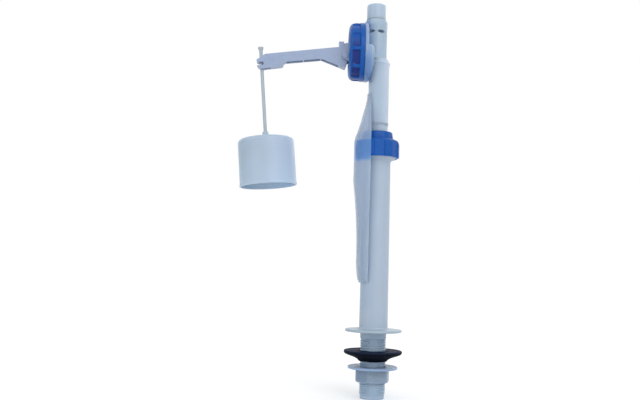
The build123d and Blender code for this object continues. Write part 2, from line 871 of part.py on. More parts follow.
with BuildPart() as nozzle_seat:
    with BuildSketch(Plane.XZ):
        with BuildLine():
            throat = ring_height + nozzle_bore / 2
            Polyline(
                (nozzle_back - seat_gap, ring_height + riser_bore),
                (nozzle_back - seat_gap, ring_height + nozzle_radius),
                (nozzle_boss_front - seat_gap, ring_height + nozzle_radius),
                (nozzle_boss_front - seat_gap, ring_height + nozzle_boss_radius - 0.2),
                (nozzle_boss_front - 1.0, ring_height + nozzle_boss_radius - 0.2),
                (pad_face + 0.5, ring_height + nozzle_lip_radius),
                (pad_face + seat_gap, ring_height + nozzle_lip_radius - 0.4),
                (pad_face + seat_gap, throat + 0.4),
                (pad_face + 1.5, throat),
                (nozzle_boss_front, throat),
                close=True,
            )
        make_face()
    revolve(axis=ring_axis)
write(nozzle_seat.part, "nozzle_seat")

# ---- Diaphragm, its seat disc and the metering pin ---------------------------

with BuildPart() as diaphragm:
    with BuildSketch(Plane.XZ):
        with BuildLine():
            web_front = diaphragm_front + web_thickness / 2
            web_back = web_front + web_thickness
            clamp_edge = ring_height + rim_bore - free_gap
            fold = ring_height + fold_radius
            hole = ring_height + seat_disc_radius + free_gap
            Polyline(
                (diaphragm_front, ring_height + diaphragm_radius),
                (diaphragm_front, clamp_edge),
                (web_front, clamp_edge - web_thickness / 2),
                (web_front + fold_depth, fold + fold_crest),
                (web_front + fold_depth, fold - fold_crest),
                (web_front, fold - fold_foot),
                (web_front, hole),
                (web_back, hole),
                (web_back, fold - fold_foot + web_thickness / 4),
                (web_back + fold_depth, fold - fold_crest + web_thickness / 4),
                (web_back + fold_depth, fold + fold_crest - web_thickness / 4),
                (web_back + web_thickness / 4, clamp_edge - web_thickness / 2),
                (rim_front - seat_gap, clamp_edge),
                (rim_front - seat_gap, ring_height + diaphragm_radius),
                close=True,
            )
        make_face()
    revolve(axis=ring_axis)
write(diaphragm.part, "diaphragm")

plate_front = pilot_floor + seat_disc_lift + seat_gap
with BuildPart() as seat_disc:
    with BuildSketch(Plane.XZ):
        with BuildLine():
            Polyline(
                (plate_front, ring_height + bleed_radius),
                (plate_front, ring_height + seat_disc_radius),
                (plate_front + seat_disc_plate, ring_height + seat_disc_radius),
                (plate_front + seat_disc_plate, ring_height + seat_disc_pad_radius),
                (pad_face, ring_height + seat_disc_pad_radius),
                (pad_face, ring_height + bleed_radius),
                close=True,
            )
        make_face()
    revolve(axis=ring_axis)
write(seat_disc.part, "seat_disc")

with BuildPart() as metering_pin:
    with BuildSketch(Plane((pilot_floor - cover_wall / 2, 0, ring_height), x_dir=(0, 1, 0), z_dir=(1, 0, 0))):
        Circle(pin_radius)
    extrude(amount=pin_length)
    chamfer(metering_pin.edges().sort_by(Axis.X)[-1], length=pin_radius / 2)
write(metering_pin.part, "metering_pin")

# ---- Front cover with the pilot jet and the arm's cheeks ---------------------

with BuildPart() as front_cover:
    with BuildSketch(Plane.XZ):
        with BuildLine():
            Polyline(
                (cover_face, ring_height),
                (cover_face, ring_height + cover_boss_radius - 0.5),
                (cover_face + 0.5, ring_height + cover_boss_radius),
                (cover_rim_face, ring_height + cover_boss_radius),
                (cover_rim_face, ring_height + diaphragm_radius),
                (cover_back, ring_height + diaphragm_radius),
                (cover_back, ring_height + rim_bore - cover_land),
                (pilot_floor, ring_height + rim_bore - cover_land - cover_draft),
                (pilot_floor, ring_height),
                close=True,
            )
        make_face()
    revolve(axis=ring_axis)
    with BuildSketch(Plane((cover_face, 0, ring_height + pilot_height), x_dir=(0, 1, 0), z_dir=(-1, 0, 0))):
        Circle(pilot_radius)
    extrude(amount=cover_face - pilot_tip)
    chamfer(front_cover.faces().sort_by(Axis.X)[0].edges(), length=0.9)
    with BuildSketch(Plane.XZ.offset(cheek_gap)):
        with BuildLine():
            Polyline(
                (cover_face + cover_wall / 2, ring_height - cheek_drop),
                (cover_face + cover_wall / 2, ring_height + cheek_rise),
                (cheek_front, ring_height + cheek_rise),
                (cheek_front - 0.6, ring_height + cheek_rise - 0.8),
                (pivot_x - cheek_eye_radius, pivot_z + 1.5),
                (pivot_x - cheek_eye_radius * 0.6, pivot_z - cheek_eye_radius * 0.8),
                close=True,
            )
        make_face()
        with Locations((pivot_x, pivot_z)):
            Circle(cheek_eye_radius)
            Circle(pivot_radius + seat_gap / 2, mode=Mode.SUBTRACT)
    cheek = extrude(amount=cheek_thickness)
    mirror(cheek, about=Plane.XZ)
    with BuildSketch(Plane((pilot_tip, 0, ring_height + pilot_height), x_dir=(0, 1, 0), z_dir=(1, 0, 0))):
        Circle(pilot_bore)
    extrude(amount=pilot_floor - pilot_tip, mode=Mode.SUBTRACT)
    with BuildSketch(Plane((pilot_floor, 0, ring_height), x_dir=(0, 1, 0), z_dir=(-1, 0, 0))):
        Circle(pin_radius + seat_gap / 2)
    extrude(amount=cover_wall / 2 + seat_gap, mode=Mode.SUBTRACT)
write(front_cover.part, "front_cover")

# ---- Blue ring nut -----------------------------------------------------------

with BuildPart() as ring_nut:
    with BuildSketch(Plane.XZ):
        with BuildLine():
            band_x = ring_back - ring_back_band
            side = Polyline(
                (ring_front + ring_rounding, ring_height + ring_radius),
                (band_x, ring_height + ring_radius),
                (band_x + ring_band_rise, ring_height + ring_radius + ring_band_rise),
                (ring_back - ring_band_rise, ring_height + ring_radius + ring_band_rise),
                (ring_back, ring_height + ring_radius),
                (ring_back, ring_height + ring_bore),
                (ring_lip_back, ring_height + ring_bore),
                (ring_lip_back, ring_height + ring_opening),
                (ring_front, ring_height + ring_opening),
                (ring_front, ring_height + ring_radius - ring_rounding),
            )
            RadiusArc(side @ 1, side @ 0, ring_rounding)
        make_face()
    revolve(axis=ring_axis)
    with BuildSketch(
        Plane((band_x - ring_pocket_width, 0, ring_height), x_dir=(0, 1, 0), z_dir=(1, 0, 0))
    ):
        Circle(ring_radius + 2)
        Circle(ring_radius - ring_pocket_depth, mode=Mode.SUBTRACT)
        with PolarLocations(ring_radius, ring_pockets, start_angle=ring_rib_turn):
            Rectangle(6 * ring_pocket_depth, ring_rib, mode=Mode.SUBTRACT)
    extrude(amount=ring_pocket_width, mode=Mode.SUBTRACT)
write(ring_nut.part, "ring_nut")

# ---- Cap and its gasket ------------------------------------------------------

cap_seat = barrel_top + cap_gasket_thickness + 2 * seat_gap
with BuildPart() as cap_gasket:
    with BuildSketch(Plane.XY.offset(barrel_top + seat_gap)):
        with Locations((barrel_x, 0)):
            Circle(cap_radius + free_gap)
            Circle(vent_bore - seat_gap, mode=Mode.SUBTRACT)
    extrude(amount=cap_gasket_thickness)
write(cap_gasket.part, "cap_gasket")

with BuildPart() as top_cap:
    with BuildSketch(Plane.XZ):
        with BuildLine():
            plug = barrel_x + vent_bore - 2 * seat_gap
            Polyline(
                (barrel_x, cap_top),
                (barrel_x + cap_radius - cap_chamfer, cap_top),
                (barrel_x + cap_radius, cap_top - cap_chamfer),
                (barrel_x + cap_radius, cap_seat),
                (plug, cap_seat),
                (plug, cap_seat - cap_plug_depth + cap_chamfer),
                (plug - cap_chamfer, cap_seat - cap_plug_depth),
                (plug - cap_wall, cap_seat - cap_plug_depth),
                (plug - cap_wall, cap_top - cap_wall),
                (barrel_x, cap_top - cap_wall),
                close=True,
            )
        make_face()
    revolve(axis=barrel_axis)
write(top_cap.part, "top_cap")

# ---- Pivot pin ---------------------------------------------------------------

pin_reach = cheek_gap + cheek_thickness
with BuildPart() as pivot_pin:
    with BuildSketch(Plane((pivot_x, -pin_reach, pivot_z), x_dir=(1, 0, 0), z_dir=(0, 1, 0))):
        Circle(pivot_radius)
    extrude(amount=2 * pin_reach + pivot_head)
    with BuildSketch(Plane((pivot_x, -pin_reach, pivot_z), x_dir=(1, 0, 0), z_dir=(0, -1, 0))):
        Circle(pivot_head_radius)
    extrude(amount=pivot_head)
    chamfer(pivot_pin.edges().sort_by(Axis.Y)[0], length=pivot_head / 3)
    chamfer(pivot_pin.edges().sort_by(Axis.Y)[-1], length=pivot_head / 3)
write(pivot_pin.part, "pivot_pin")

# ---- Float arm ---------------------------------------------------------------

pad_plane = Plane(
    origin=arm_plane.from_local_coords((arm_face - pad_stand, pad_height, 0)),
    x_dir=(0, 1, 0),
    z_dir=arm_plane.x_dir,
)
rod_plane = Plane(origin=rod_origin, x_dir=(0, 1, 0), z_dir=arm_up)

with BuildPart() as float_arm:
    with BuildSketch(arm_plane):
        with BuildLine():
            Polyline(
                (arm_face, arm_tab_height),
                (arm_tab_width, arm_tab_height + 0.2),
                (arm_tab_width, arm_top(arm_tab_width)),
                (arm_end, arm_top_end),
                (rod_reach - 0.6, 4.5),
                (rod_reach + 2.0, 2.6),
                (rod_reach + 3.4, 2.1),
                (jaw_reach, 1.0),
                (jaw_reach, 0.2),
                (jaw_reach - 0.7, -0.4),
                (rod_reach - 1.8, -0.4),
                (rod_reach - 1.8, -3.1),
                (jaw_reach, -3.1),
                (jaw_reach - 0.4, -3.8),
                (rod_reach + 0.6, -6.1),
                (rod_reach - 3.0, -5.5),
                (arm_lip_start + 3.4, -4.7),
                (arm_lip_start + 2.2, -4.2),
                (arm_lip_start + 1.5, -3.0),
                (arm_lip_start + 1.3, -2.2),
                (arm_lip_start, -1.4),
                (arm_wedge_length, -0.6),
                (1.4, -arm_stop_depth),
                (-0.9, -4.5),
                (-arm_hub_radius + 0.4, -1.2),
                (-arm_hub_radius + 0.6, 1.8),
                (arm_face, 3.4),
                close=True,
            )
        make_face()
        Circle(arm_hub_radius)
        Circle(pivot_radius + running_gap, mode=Mode.SUBTRACT)
    extrude(amount=arm_half_width, both=True)
    # Underside bays leave two side walls, the top and thin cross ribs.
    bay_length = (arm_lip_start - arm_bay_start - arm_bays * arm_bay_rib) / arm_bays
    for bay in range(arm_bays):
        bay_near = arm_bay_start + bay * (bay_length + arm_bay_rib)
        bay_far = bay_near + bay_length
        with BuildSketch(arm_plane):
            with BuildLine():
                Polyline(
                    (bay_near, -arm_stop_depth),
                    (bay_near, arm_top(bay_near) - arm_wall),
                    (bay_far, arm_top(bay_far) - arm_wall),
                    (bay_far, -arm_stop_depth),
                    close=True,
                )
            make_face()
        extrude(amount=arm_half_width - arm_wall, both=True, mode=Mode.SUBTRACT)
    # Socket for the sealing pad.
    with BuildSketch(pad_plane):
        Circle(pad_radius + seat_gap)
    extrude(amount=pad_thickness + seat_gap, mode=Mode.SUBTRACT)
    # Bore and snap-in mouth for the float rod.
    with BuildSketch(rod_plane.offset(-arm_stop_depth)):
        Circle(rod_radius + running_gap)
        Rectangle(jaw_mouth, 2 * (jaw_reach - rod_reach), align=(Align.CENTER, Align.MAX))
    extrude(amount=2 * arm_stop_depth, mode=Mode.SUBTRACT)
write(float_arm.part, "float_arm")

with BuildPart() as pilot_pad:
    with BuildSketch(pad_plane):
        Circle(pad_radius)
    extrude(amount=pad_thickness)
write(pilot_pad.part, "pilot_pad")

# ---- Float rod and cup -------------------------------------------------------

plate_low = cup_top - cup_wall
with BuildPart() as float_rod:
    with BuildSketch(arm_plane):
        with BuildLine():
            Polyline(
                (rod_reach, rod_top),
                (rod_reach + rod_head_radius, rod_top),
                (rod_reach + rod_head_radius, rod_top - rod_head_length / 5),
                (rod_reach + rod_radius, rod_top - rod_head_length),
                (rod_reach + rod_radius, plate_low - seat_gap),
                (rod_reach + rod_foot_radius, plate_low - seat_gap),
                (rod_reach + rod_radius - 0.3, plate_low - rod_foot),
                (rod_reach, plate_low - rod_foot),
                close=True,
            )
        make_face()
    revolve(axis=rod_axis)
write(float_rod.part, "float_rod")

with BuildPart() as float_cup:
    with BuildSketch(arm_plane):
        with BuildLine():
            bore = rod_reach + rod_radius + seat_gap / 2
            side = rod_reach + cup_radius
            inner = side - cup_wall
            shell = Polyline(
                (side, cup_top - cup_crown - cup_rounding),
                (side + 0.2, cup_bottom + 2.0),
                (side + 0.5, cup_bottom + 1.6),
                (side + 0.5, cup_bottom),
                (inner + 0.2, cup_bottom),
                (inner, cup_top - cup_crown - cup_rounding),
                (inner - cup_rounding + cup_wall, cup_top - cup_crown - cup_wall),
                (bore + cup_boss_foot_radius, plate_low),
                (bore, plate_low),
                (bore, cup_boss_top),
                (rod_reach + cup_boss_radius, cup_boss_top),
                (rod_reach + cup_boss_radius + 0.5, (cup_boss_top + cup_top) / 2),
                (rod_reach + cup_boss_foot_radius, cup_top),
                (side - cup_rounding, cup_top - cup_crown),
            )
            RadiusArc(shell @ 1, shell @ 0, cup_rounding)
        make_face()
    revolve(axis=rod_axis)
write(float_cup.part, "float_cup")
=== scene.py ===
import json
from math import atan2, cos, hypot, pi, radians, sin, sqrt

import bmesh
import bpy
from bpy.props import FloatProperty, FloatVectorProperty, PointerProperty
from mathutils import Matrix, Vector


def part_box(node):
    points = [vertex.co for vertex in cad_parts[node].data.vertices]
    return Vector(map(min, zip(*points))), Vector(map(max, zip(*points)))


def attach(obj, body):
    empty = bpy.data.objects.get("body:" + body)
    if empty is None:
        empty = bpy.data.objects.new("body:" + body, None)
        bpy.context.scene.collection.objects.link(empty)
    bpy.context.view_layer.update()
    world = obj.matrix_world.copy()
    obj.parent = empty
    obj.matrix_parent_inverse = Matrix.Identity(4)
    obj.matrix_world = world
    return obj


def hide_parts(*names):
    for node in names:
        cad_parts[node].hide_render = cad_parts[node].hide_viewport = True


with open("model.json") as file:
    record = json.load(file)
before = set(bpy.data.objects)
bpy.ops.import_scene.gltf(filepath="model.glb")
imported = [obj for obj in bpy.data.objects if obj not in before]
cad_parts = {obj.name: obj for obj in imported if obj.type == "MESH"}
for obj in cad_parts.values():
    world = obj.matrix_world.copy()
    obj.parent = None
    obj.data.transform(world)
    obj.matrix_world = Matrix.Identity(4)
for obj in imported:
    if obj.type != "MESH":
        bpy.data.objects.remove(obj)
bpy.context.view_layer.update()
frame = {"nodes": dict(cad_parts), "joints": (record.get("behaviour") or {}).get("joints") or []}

bl_info = {
    "name": "Cistern Float Valve",
    "version": (1, 0, 0),
    "blender": (4, 5, 0),
    "location": "3D View > Sidebar > Float Valve",
    "description": "Builds the finished pieces of a cistern float valve on its packed frame",
    "category": "Object",
}

MM = 0.001
TURN = 2 * pi
# Corners closer together than this, in mm, are one corner.
MERGE = 0.001
JOINTS = {joint["name"]: joint for joint in frame["joints"]}


def box_mm(node):
    """A CAD node's lowest and highest corners in millimetres."""
    low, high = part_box(node)
    return low / MM, high / MM


PIPE_LOW, PIPE_HIGH = box_mm("stand_pipe")
CONE_LOW, CONE_HIGH = box_mm("cone_washer")
SLIP_LOW, SLIP_HIGH = box_mm("slip_washer")
NUT_LOW, NUT_HIGH = box_mm("back_nut")
LOCK_LOW, LOCK_HIGH = box_mm("lock_nut")
JACKET_HIGH = box_mm("jacket_tube")[1]
CAP_LOW, CAP_HIGH = box_mm("top_cap")
RING_LOW, RING_HIGH = box_mm("ring_nut")

# The float arm's pivot and droop at rest, and where the rod crosses the arm's line.
PIVOT = Vector(JOINTS["arm_swing"]["pos_m"]) / MM
FLOAT_UP = Vector(JOINTS["float_slide"]["axis"])
ARM_DROOP = atan2(-FLOAT_UP.x, FLOAT_UP.z)
ROD_REACH = 69.4
ROD_FOOT = PIVOT + Vector((-cos(ARM_DROOP), 0, -sin(ARM_DROOP))) * ROD_REACH
RING_HEIGHT = (RING_LOW.z + RING_HIGH.z) / 2
CAP_X = (CAP_LOW.x + CAP_HIGH.x) / 2
# Where the shroud's open edges are; only its strap goes further towards +X.
STRAP_X = -6.2

# Painted light and shade on the milky plastic: the lock nut's blue seen through the shroud,
# the ring nut's blue down the hood, and painted shade on the flange's thin rim.
PAINTED_NUT_BLUE = (0.14, 0.36, 0.86)
PAINTED_RING_BLUE = (0.10, 0.24, 0.54)
PAINTED_RIM_SHADE = (0.33, 0.43, 0.50)
# Painted shade down in the ring nut's pockets, and a painted slate-blue reflection on the
# top of the rubber washer's rim.
POCKET_SHADE = (0.010, 0.028, 0.19)
SLATE_SHEEN = (0.010, 0.018, 0.045)
FLOOR_WHITE = (0.86, 0.87, 0.88)

# The values that most of a noise lies between.
NOISE_LOW, NOISE_HIGH = 0.3, 0.7

# The stage, in metres: each lamp's name, place and power, what they face, and the camera.
LAMPS = (
    ("key_light", (0.40, -1.00, 0.80), 5.2),
    ("fill_light", (-0.80, -0.70, 0.30), 1.2),
    ("back_light", (0.35, 0.9, 0.75), 1.6),
)
LAMP_SIZE = 0.9
LAMP_AIM = Vector((-0.03, 0, 0.11))
CAMERA_PLACE = (-0.04187, -0.61173, 0.04526)
CAMERA_PITCH, CAMERA_ROLL = radians(4.038), radians(1.572)
CAMERA_SHIFT = (-0.0065, 0.032)


# Settings ---------------------------------------------------------------------


class ValveSizes(bpy.types.PropertyGroup):
    """Sizes, in millimetres, that a user may change on the finished pieces."""

    edge: FloatProperty(
        name="Moulded edge", description="Rounding of the moulded edges, in mm",
        default=0.25, min=0.05, max=0.6,
    )
    tail_pitch: FloatProperty(
        name="Tail pitch", description="Rise of one turn of the G 1/2 thread, in mm",
        default=1.814, min=1, max=3,
    )
    tail_crest: FloatProperty(
        name="Tail crest radius", description="Radius over the tail's thread, in mm",
        default=10.48, min=9, max=12,
    )
    tail_root: FloatProperty(
        name="Tail root radius", description="Radius under the tail's thread, in mm",
        default=9.75, min=8, max=11,
    )
    gland_pitch: FloatProperty(
        name="Gland pitch", description="Rise of one turn under the lock nut, in mm",
        default=2.0, min=1, max=3,
    )
    gland_crest: FloatProperty(
        name="Gland crest radius", description="Radius over the gland thread, in mm",
        default=14.0, min=12, max=16,
    )
    nut_flats: FloatProperty(
        name="Back nut flats", description="Width of the back nut across its flats, in mm",
        default=25.4, min=22, max=30,
    )
    lock_flute: FloatProperty(
        name="Lock nut flute", description="Width of a flute in the lock nut's skirt, in mm",
        default=8.7, min=4, max=12,
    )
    pocket: FloatProperty(
        name="Ring pocket depth", description="Depth between the ring nut's ribs, in mm",
        default=1.3, min=0.2, max=1.5,
    )


class ValveColours(bpy.types.PropertyGroup):
    """Colours of the plastics and rubbers."""

    natural: FloatVectorProperty(
        name="Natural polypropylene", description="Milky blue-white of the uncoloured pieces",
        subtype="COLOR", size=3, min=0, max=1, default=(0.42, 0.525, 0.655),
    )
    acetal: FloatVectorProperty(
        name="Acetal", description="Off-white of the hard pieces",
        subtype="COLOR", size=3, min=0, max=1, default=(0.39, 0.455, 0.50),
    )
    blue: FloatVectorProperty(
        name="Blue plastic", description="Blue of the lock nut and the ring nut",
        subtype="COLOR", size=3, min=0, max=1, default=(0.004, 0.086, 0.375),
    )
    rubber: FloatVectorProperty(
        name="Black rubber", description="Colour of the conical washer",
        subtype="COLOR", size=3, min=0, max=1, default=(0.0015, 0.0025, 0.006),
    )
    seal: FloatVectorProperty(
        name="Grey rubber", description="Colour of the rings, the gasket and the diaphragm",
        subtype="COLOR", size=3, min=0, max=1, default=(0.07, 0.08, 0.10),
    )


class ValveStage(bpy.types.PropertyGroup):
    """The light and the camera's lens."""

    daylight: FloatProperty(
        name="Daylight", description="Strength of the even light from all round",
        default=0.72, min=0, max=2,
    )
    lens: FloatProperty(
        name="Lens", description="Focal length in mm on a 36 mm sensor",
        default=42.47, min=20, max=120,
    )


# Materials --------------------------------------------------------------------


def finish_nodes(name, colour, roughness):
    """A new material with its tree, shader and object coordinates."""
    material = bpy.data.materials.new(name)
    material.use_nodes = True
    tree = material.node_tree
    shader = tree.nodes["Principled BSDF"]
    shader.inputs["Base Color"].default_value = (*colour, 1)
    shader.inputs["Roughness"].default_value = roughness
    material.diffuse_color = (*colour, 1)
    coords = tree.nodes.new("ShaderNodeTexCoord").outputs["Object"]
    return material, tree, shader, coords


def feed(tree, socket, value):
    """Give a socket another node's output, or a plain number or colour."""
    if isinstance(value, bpy.types.NodeSocket):
        tree.links.new(value, socket)
    elif socket.type == "RGBA":
        socket.default_value = (*value, 1)
    else:
        socket.default_value = value


def times(tree, first, second):
    """The product of two values."""
    product = tree.nodes.new("ShaderNodeMath")
    product.operation = "MULTIPLY"
    feed(tree, product.inputs[0], first)
    feed(tree, product.inputs[1], second)
    return product.outputs["Value"]


def vector(tree, operation, value, other=None):
    """A vector operation on a value and, where it takes two, on a plain vector."""
    worked = tree.nodes.new("ShaderNodeVectorMath")
    worked.operation = operation
    tree.links.new(value, worked.inputs[0])
    if other:
        worked.inputs[1].default_value = other
    return worked.outputs["Value" if operation == "LENGTH" else "Vector"]


def ranged(tree, value, start, end, low=0.0, high=1.0, curve="LINEAR"):
    """A value that goes from low to high as the one given goes from start to end."""
    mapped = tree.nodes.new("ShaderNodeMapRange")
    mapped.interpolation_type = curve
    mapped.inputs["From Min"].default_value = start
    mapped.inputs["From Max"].default_value = end
    mapped.inputs["To Min"].default_value = low
    mapped.inputs["To Max"].default_value = high
    tree.links.new(value, mapped.inputs["Value"])
    return mapped.outputs["Result"]


def band(tree, coords, axis, full, none):
    """One from the place full on, along an axis in mm, fading to nought at none."""
    split = tree.nodes.new("ShaderNodeSeparateXYZ")
    tree.links.new(coords, split.inputs["Vector"])
    return ranged(tree, split.outputs[axis], none * MM, full * MM, curve="SMOOTHSTEP")


def noise(tree, coords, scale, detail, stretch=None):
    """Noise on object coordinates, drawn out along an axis by stretch."""
    grain = tree.nodes.new("ShaderNodeTexNoise")
    grain.inputs["Scale"].default_value = scale
    grain.inputs["Detail"].default_value = detail
    if stretch:
        mapping = tree.nodes.new("ShaderNodeMapping")
        mapping.inputs["Scale"].default_value = stretch
        tree.links.new(coords, mapping.inputs["Vector"])
        coords = mapping.outputs["Vector"]
    tree.links.new(coords, grain.inputs["Vector"])
    return grain.outputs["Fac"]


def spread(tree, grain, low, high):
    """A noise value spread over the range from low to high."""
    return ranged(tree, grain, NOISE_LOW, NOISE_HIGH, low, high)


def blend(tree, share, first, second):
    """The colour that lies share of the way from first to second."""
    mix = tree.nodes.new("ShaderNodeMix")
    mix.data_type = "RGBA"
    feed(tree, mix.inputs["Factor"], share)
    feed(tree, mix.inputs["A"], first)
    feed(tree, mix.inputs["B"], second)
    return mix.outputs["Result"]


def clouded(tree, grain, first, second):
    """A colour that drifts from first to second with a noise value."""
    return blend(tree, spread(tree, grain, 0, 1), first, second)


def worn(tree, shader, grain, low, high):
    """Roughness that drifts from low to high with a noise value."""
    tree.links.new(spread(tree, grain, low, high), shader.inputs["Roughness"])


def bumped(tree, shader, grain, strength, height):
    """Fine relief on the surface from a noise value, height in mm."""
    bump = tree.nodes.new("ShaderNodeBump")
    bump.inputs["Strength"].default_value = strength
    bump.inputs["Distance"].default_value = height * MM
    tree.links.new(grain, bump.inputs["Height"])
    tree.links.new(bump.outputs["Normal"], shader.inputs["Normal"])


def dyed(colour, red, green, blue):
    """A colour with each of its channels scaled."""
    return colour[0] * red, colour[1] * green, colour[2] * blue


def shaded(colour, factor, warm=0.0):
    """A colour made lighter or darker, with its red raised by the share warm."""
    red, green, blue = colour
    return (min(1, red * factor * (1 + warm)), min(1, green * factor), min(1, blue * factor))


def milky(name, colour, clear=0.0, roughness=0.34, soft=0.7, painted_tints=()):
    """Natural polypropylene: cloudy and satin, with flow lines.

    Clear is the share of light that goes straight through a wall, and soft the
    share that scatters inside it. Each tint is painted light or shade laid on the
    plastic's colour: the blue of a nut seen through a wall, painted shade where a
    wall is thin, and lighter or darker sides where light falls or shade lies. A tint
    is (shade, depth, bands): a band is (axis, full, none) in mm, and a tint holds
    where all of its bands do.
    """
    material, tree, shader, coords = finish_nodes(name, colour, roughness)
    body = clouded(tree, noise(tree, coords, scale=38, detail=2),
                   shaded(colour, 0.95, warm=0.04), shaded(colour, 1.05))
    lines = clouded(tree, noise(tree, coords, scale=260, detail=2, stretch=(1, 1, 0.06)),
                    shaded(colour, 0.97), shaded(colour, 1.04, warm=0.02))
    shown = blend(tree, 0.4, body, lines)
    # Painted light and shade, laid over the plastic's colour one tint after another.
    for shade, depth, bands in painted_tints:
        share, *others = [band(tree, coords, *place) for place in bands] + [depth]
        for other in others:
            share = times(tree, share, other)
        shown = blend(tree, share, shown, shade)
    tree.links.new(shown, shader.inputs["Base Color"])
    worn(tree, shader, noise(tree, coords, scale=620, detail=4),
         roughness - 0.05, roughness + 0.09)
    bumped(tree, shader, noise(tree, coords, scale=2600, detail=2), strength=0.10, height=0.05)
    shader.inputs["IOR"].default_value = 1.49
    # Light meets two faces of a wall, so each lets through the root of the wall's share.
    shader.inputs["Alpha"].default_value = 1 - sqrt(clear)
    shader.inputs["Subsurface Weight"].default_value = soft
    shader.inputs["Subsurface Radius"].default_value = (0.8, 0.9, 1.0)
    shader.inputs["Subsurface Scale"].default_value = 5 * MM
    return material


def glossy_blue(name, colour, sunk=None):
    """Solid blue plastic: satin gloss, slightly uneven, with fine scuffs.

    Where sunk is given, as (radius, front) in mm, the ring nut has painted shade,
    a deeper blue, inside that radius and behind that front, on its lower half.
    """
    material, tree, shader, coords = finish_nodes(name, colour, 0.3)
    shown = clouded(tree, noise(tree, coords, scale=45, detail=2),
                    shaded(colour, 0.96, warm=0.15), shaded(colour, 1.04))
    if sunk:
        # Painted shade: the pockets darker, most of all on the lower half.
        radius, front = sunk
        fade = 0.9
        offset = vector(tree, "SUBTRACT", coords, (0, 0, RING_HEIGHT * MM))
        reach = vector(tree, "LENGTH", vector(tree, "MULTIPLY", offset, (0, 1, 1)))
        share = ranged(tree, reach, radius * MM, (radius - fade) * MM)
        share = times(tree, share, band(tree, coords, "X", front + fade, front))
        share = times(tree, share, band(tree, coords, "Z", RING_HEIGHT - 4, RING_HEIGHT + 11))
        shown = blend(tree, share, shown, POCKET_SHADE)
    tree.links.new(shown, shader.inputs["Base Color"])
    worn(tree, shader, noise(tree, coords, scale=500, detail=3, stretch=(1, 1, 0.3)), 0.26, 0.36)
    bumped(tree, shader, noise(tree, coords, scale=1500, detail=2), strength=0.03, height=0.02)
    shader.inputs["IOR"].default_value = 1.49
    shader.inputs["Specular IOR Level"].default_value = 0.22
    return material


def rubbery(name, colour, bloom, painted_sheen=None):
    """Moulded rubber: matt, finely grained, with a paler bloom.

    Where a height is given, as (full, none) in mm, the top from there on has a
    painted slate-blue sheen, a painted reflection.
    """
    material, tree, shader, coords = finish_nodes(name, colour, 0.6)
    shown = clouded(tree, noise(tree, coords, scale=160, detail=5), colour, bloom)
    # Painted reflection: a slate-blue sheen over the top face.
    if painted_sheen:
        shown = blend(tree, band(tree, coords, "Z", *painted_sheen), shown, SLATE_SHEEN)
    tree.links.new(shown, shader.inputs["Base Color"])
    worn(tree, shader, noise(tree, coords, scale=700, detail=4), 0.5, 0.72)
    bumped(tree, shader, noise(tree, coords, scale=3200, detail=3), strength=0.3, height=0.05)
    shader.inputs["Specular IOR Level"].default_value = 0.06
    return material


def smooth_acetal(name, colour):
    """Hard acetal: dense, smooth, faintly cloudy."""
    material, tree, shader, coords = finish_nodes(name, colour, 0.3)
    body = clouded(tree, noise(tree, coords, scale=120, detail=2),
                   shaded(colour, 0.96), shaded(colour, 1.04))
    tree.links.new(body, shader.inputs["Base Color"])
    worn(tree, shader, noise(tree, coords, scale=800, detail=3), 0.25, 0.38)
    bumped(tree, shader, noise(tree, coords, scale=2400, detail=2), strength=0.06, height=0.04)
    return material


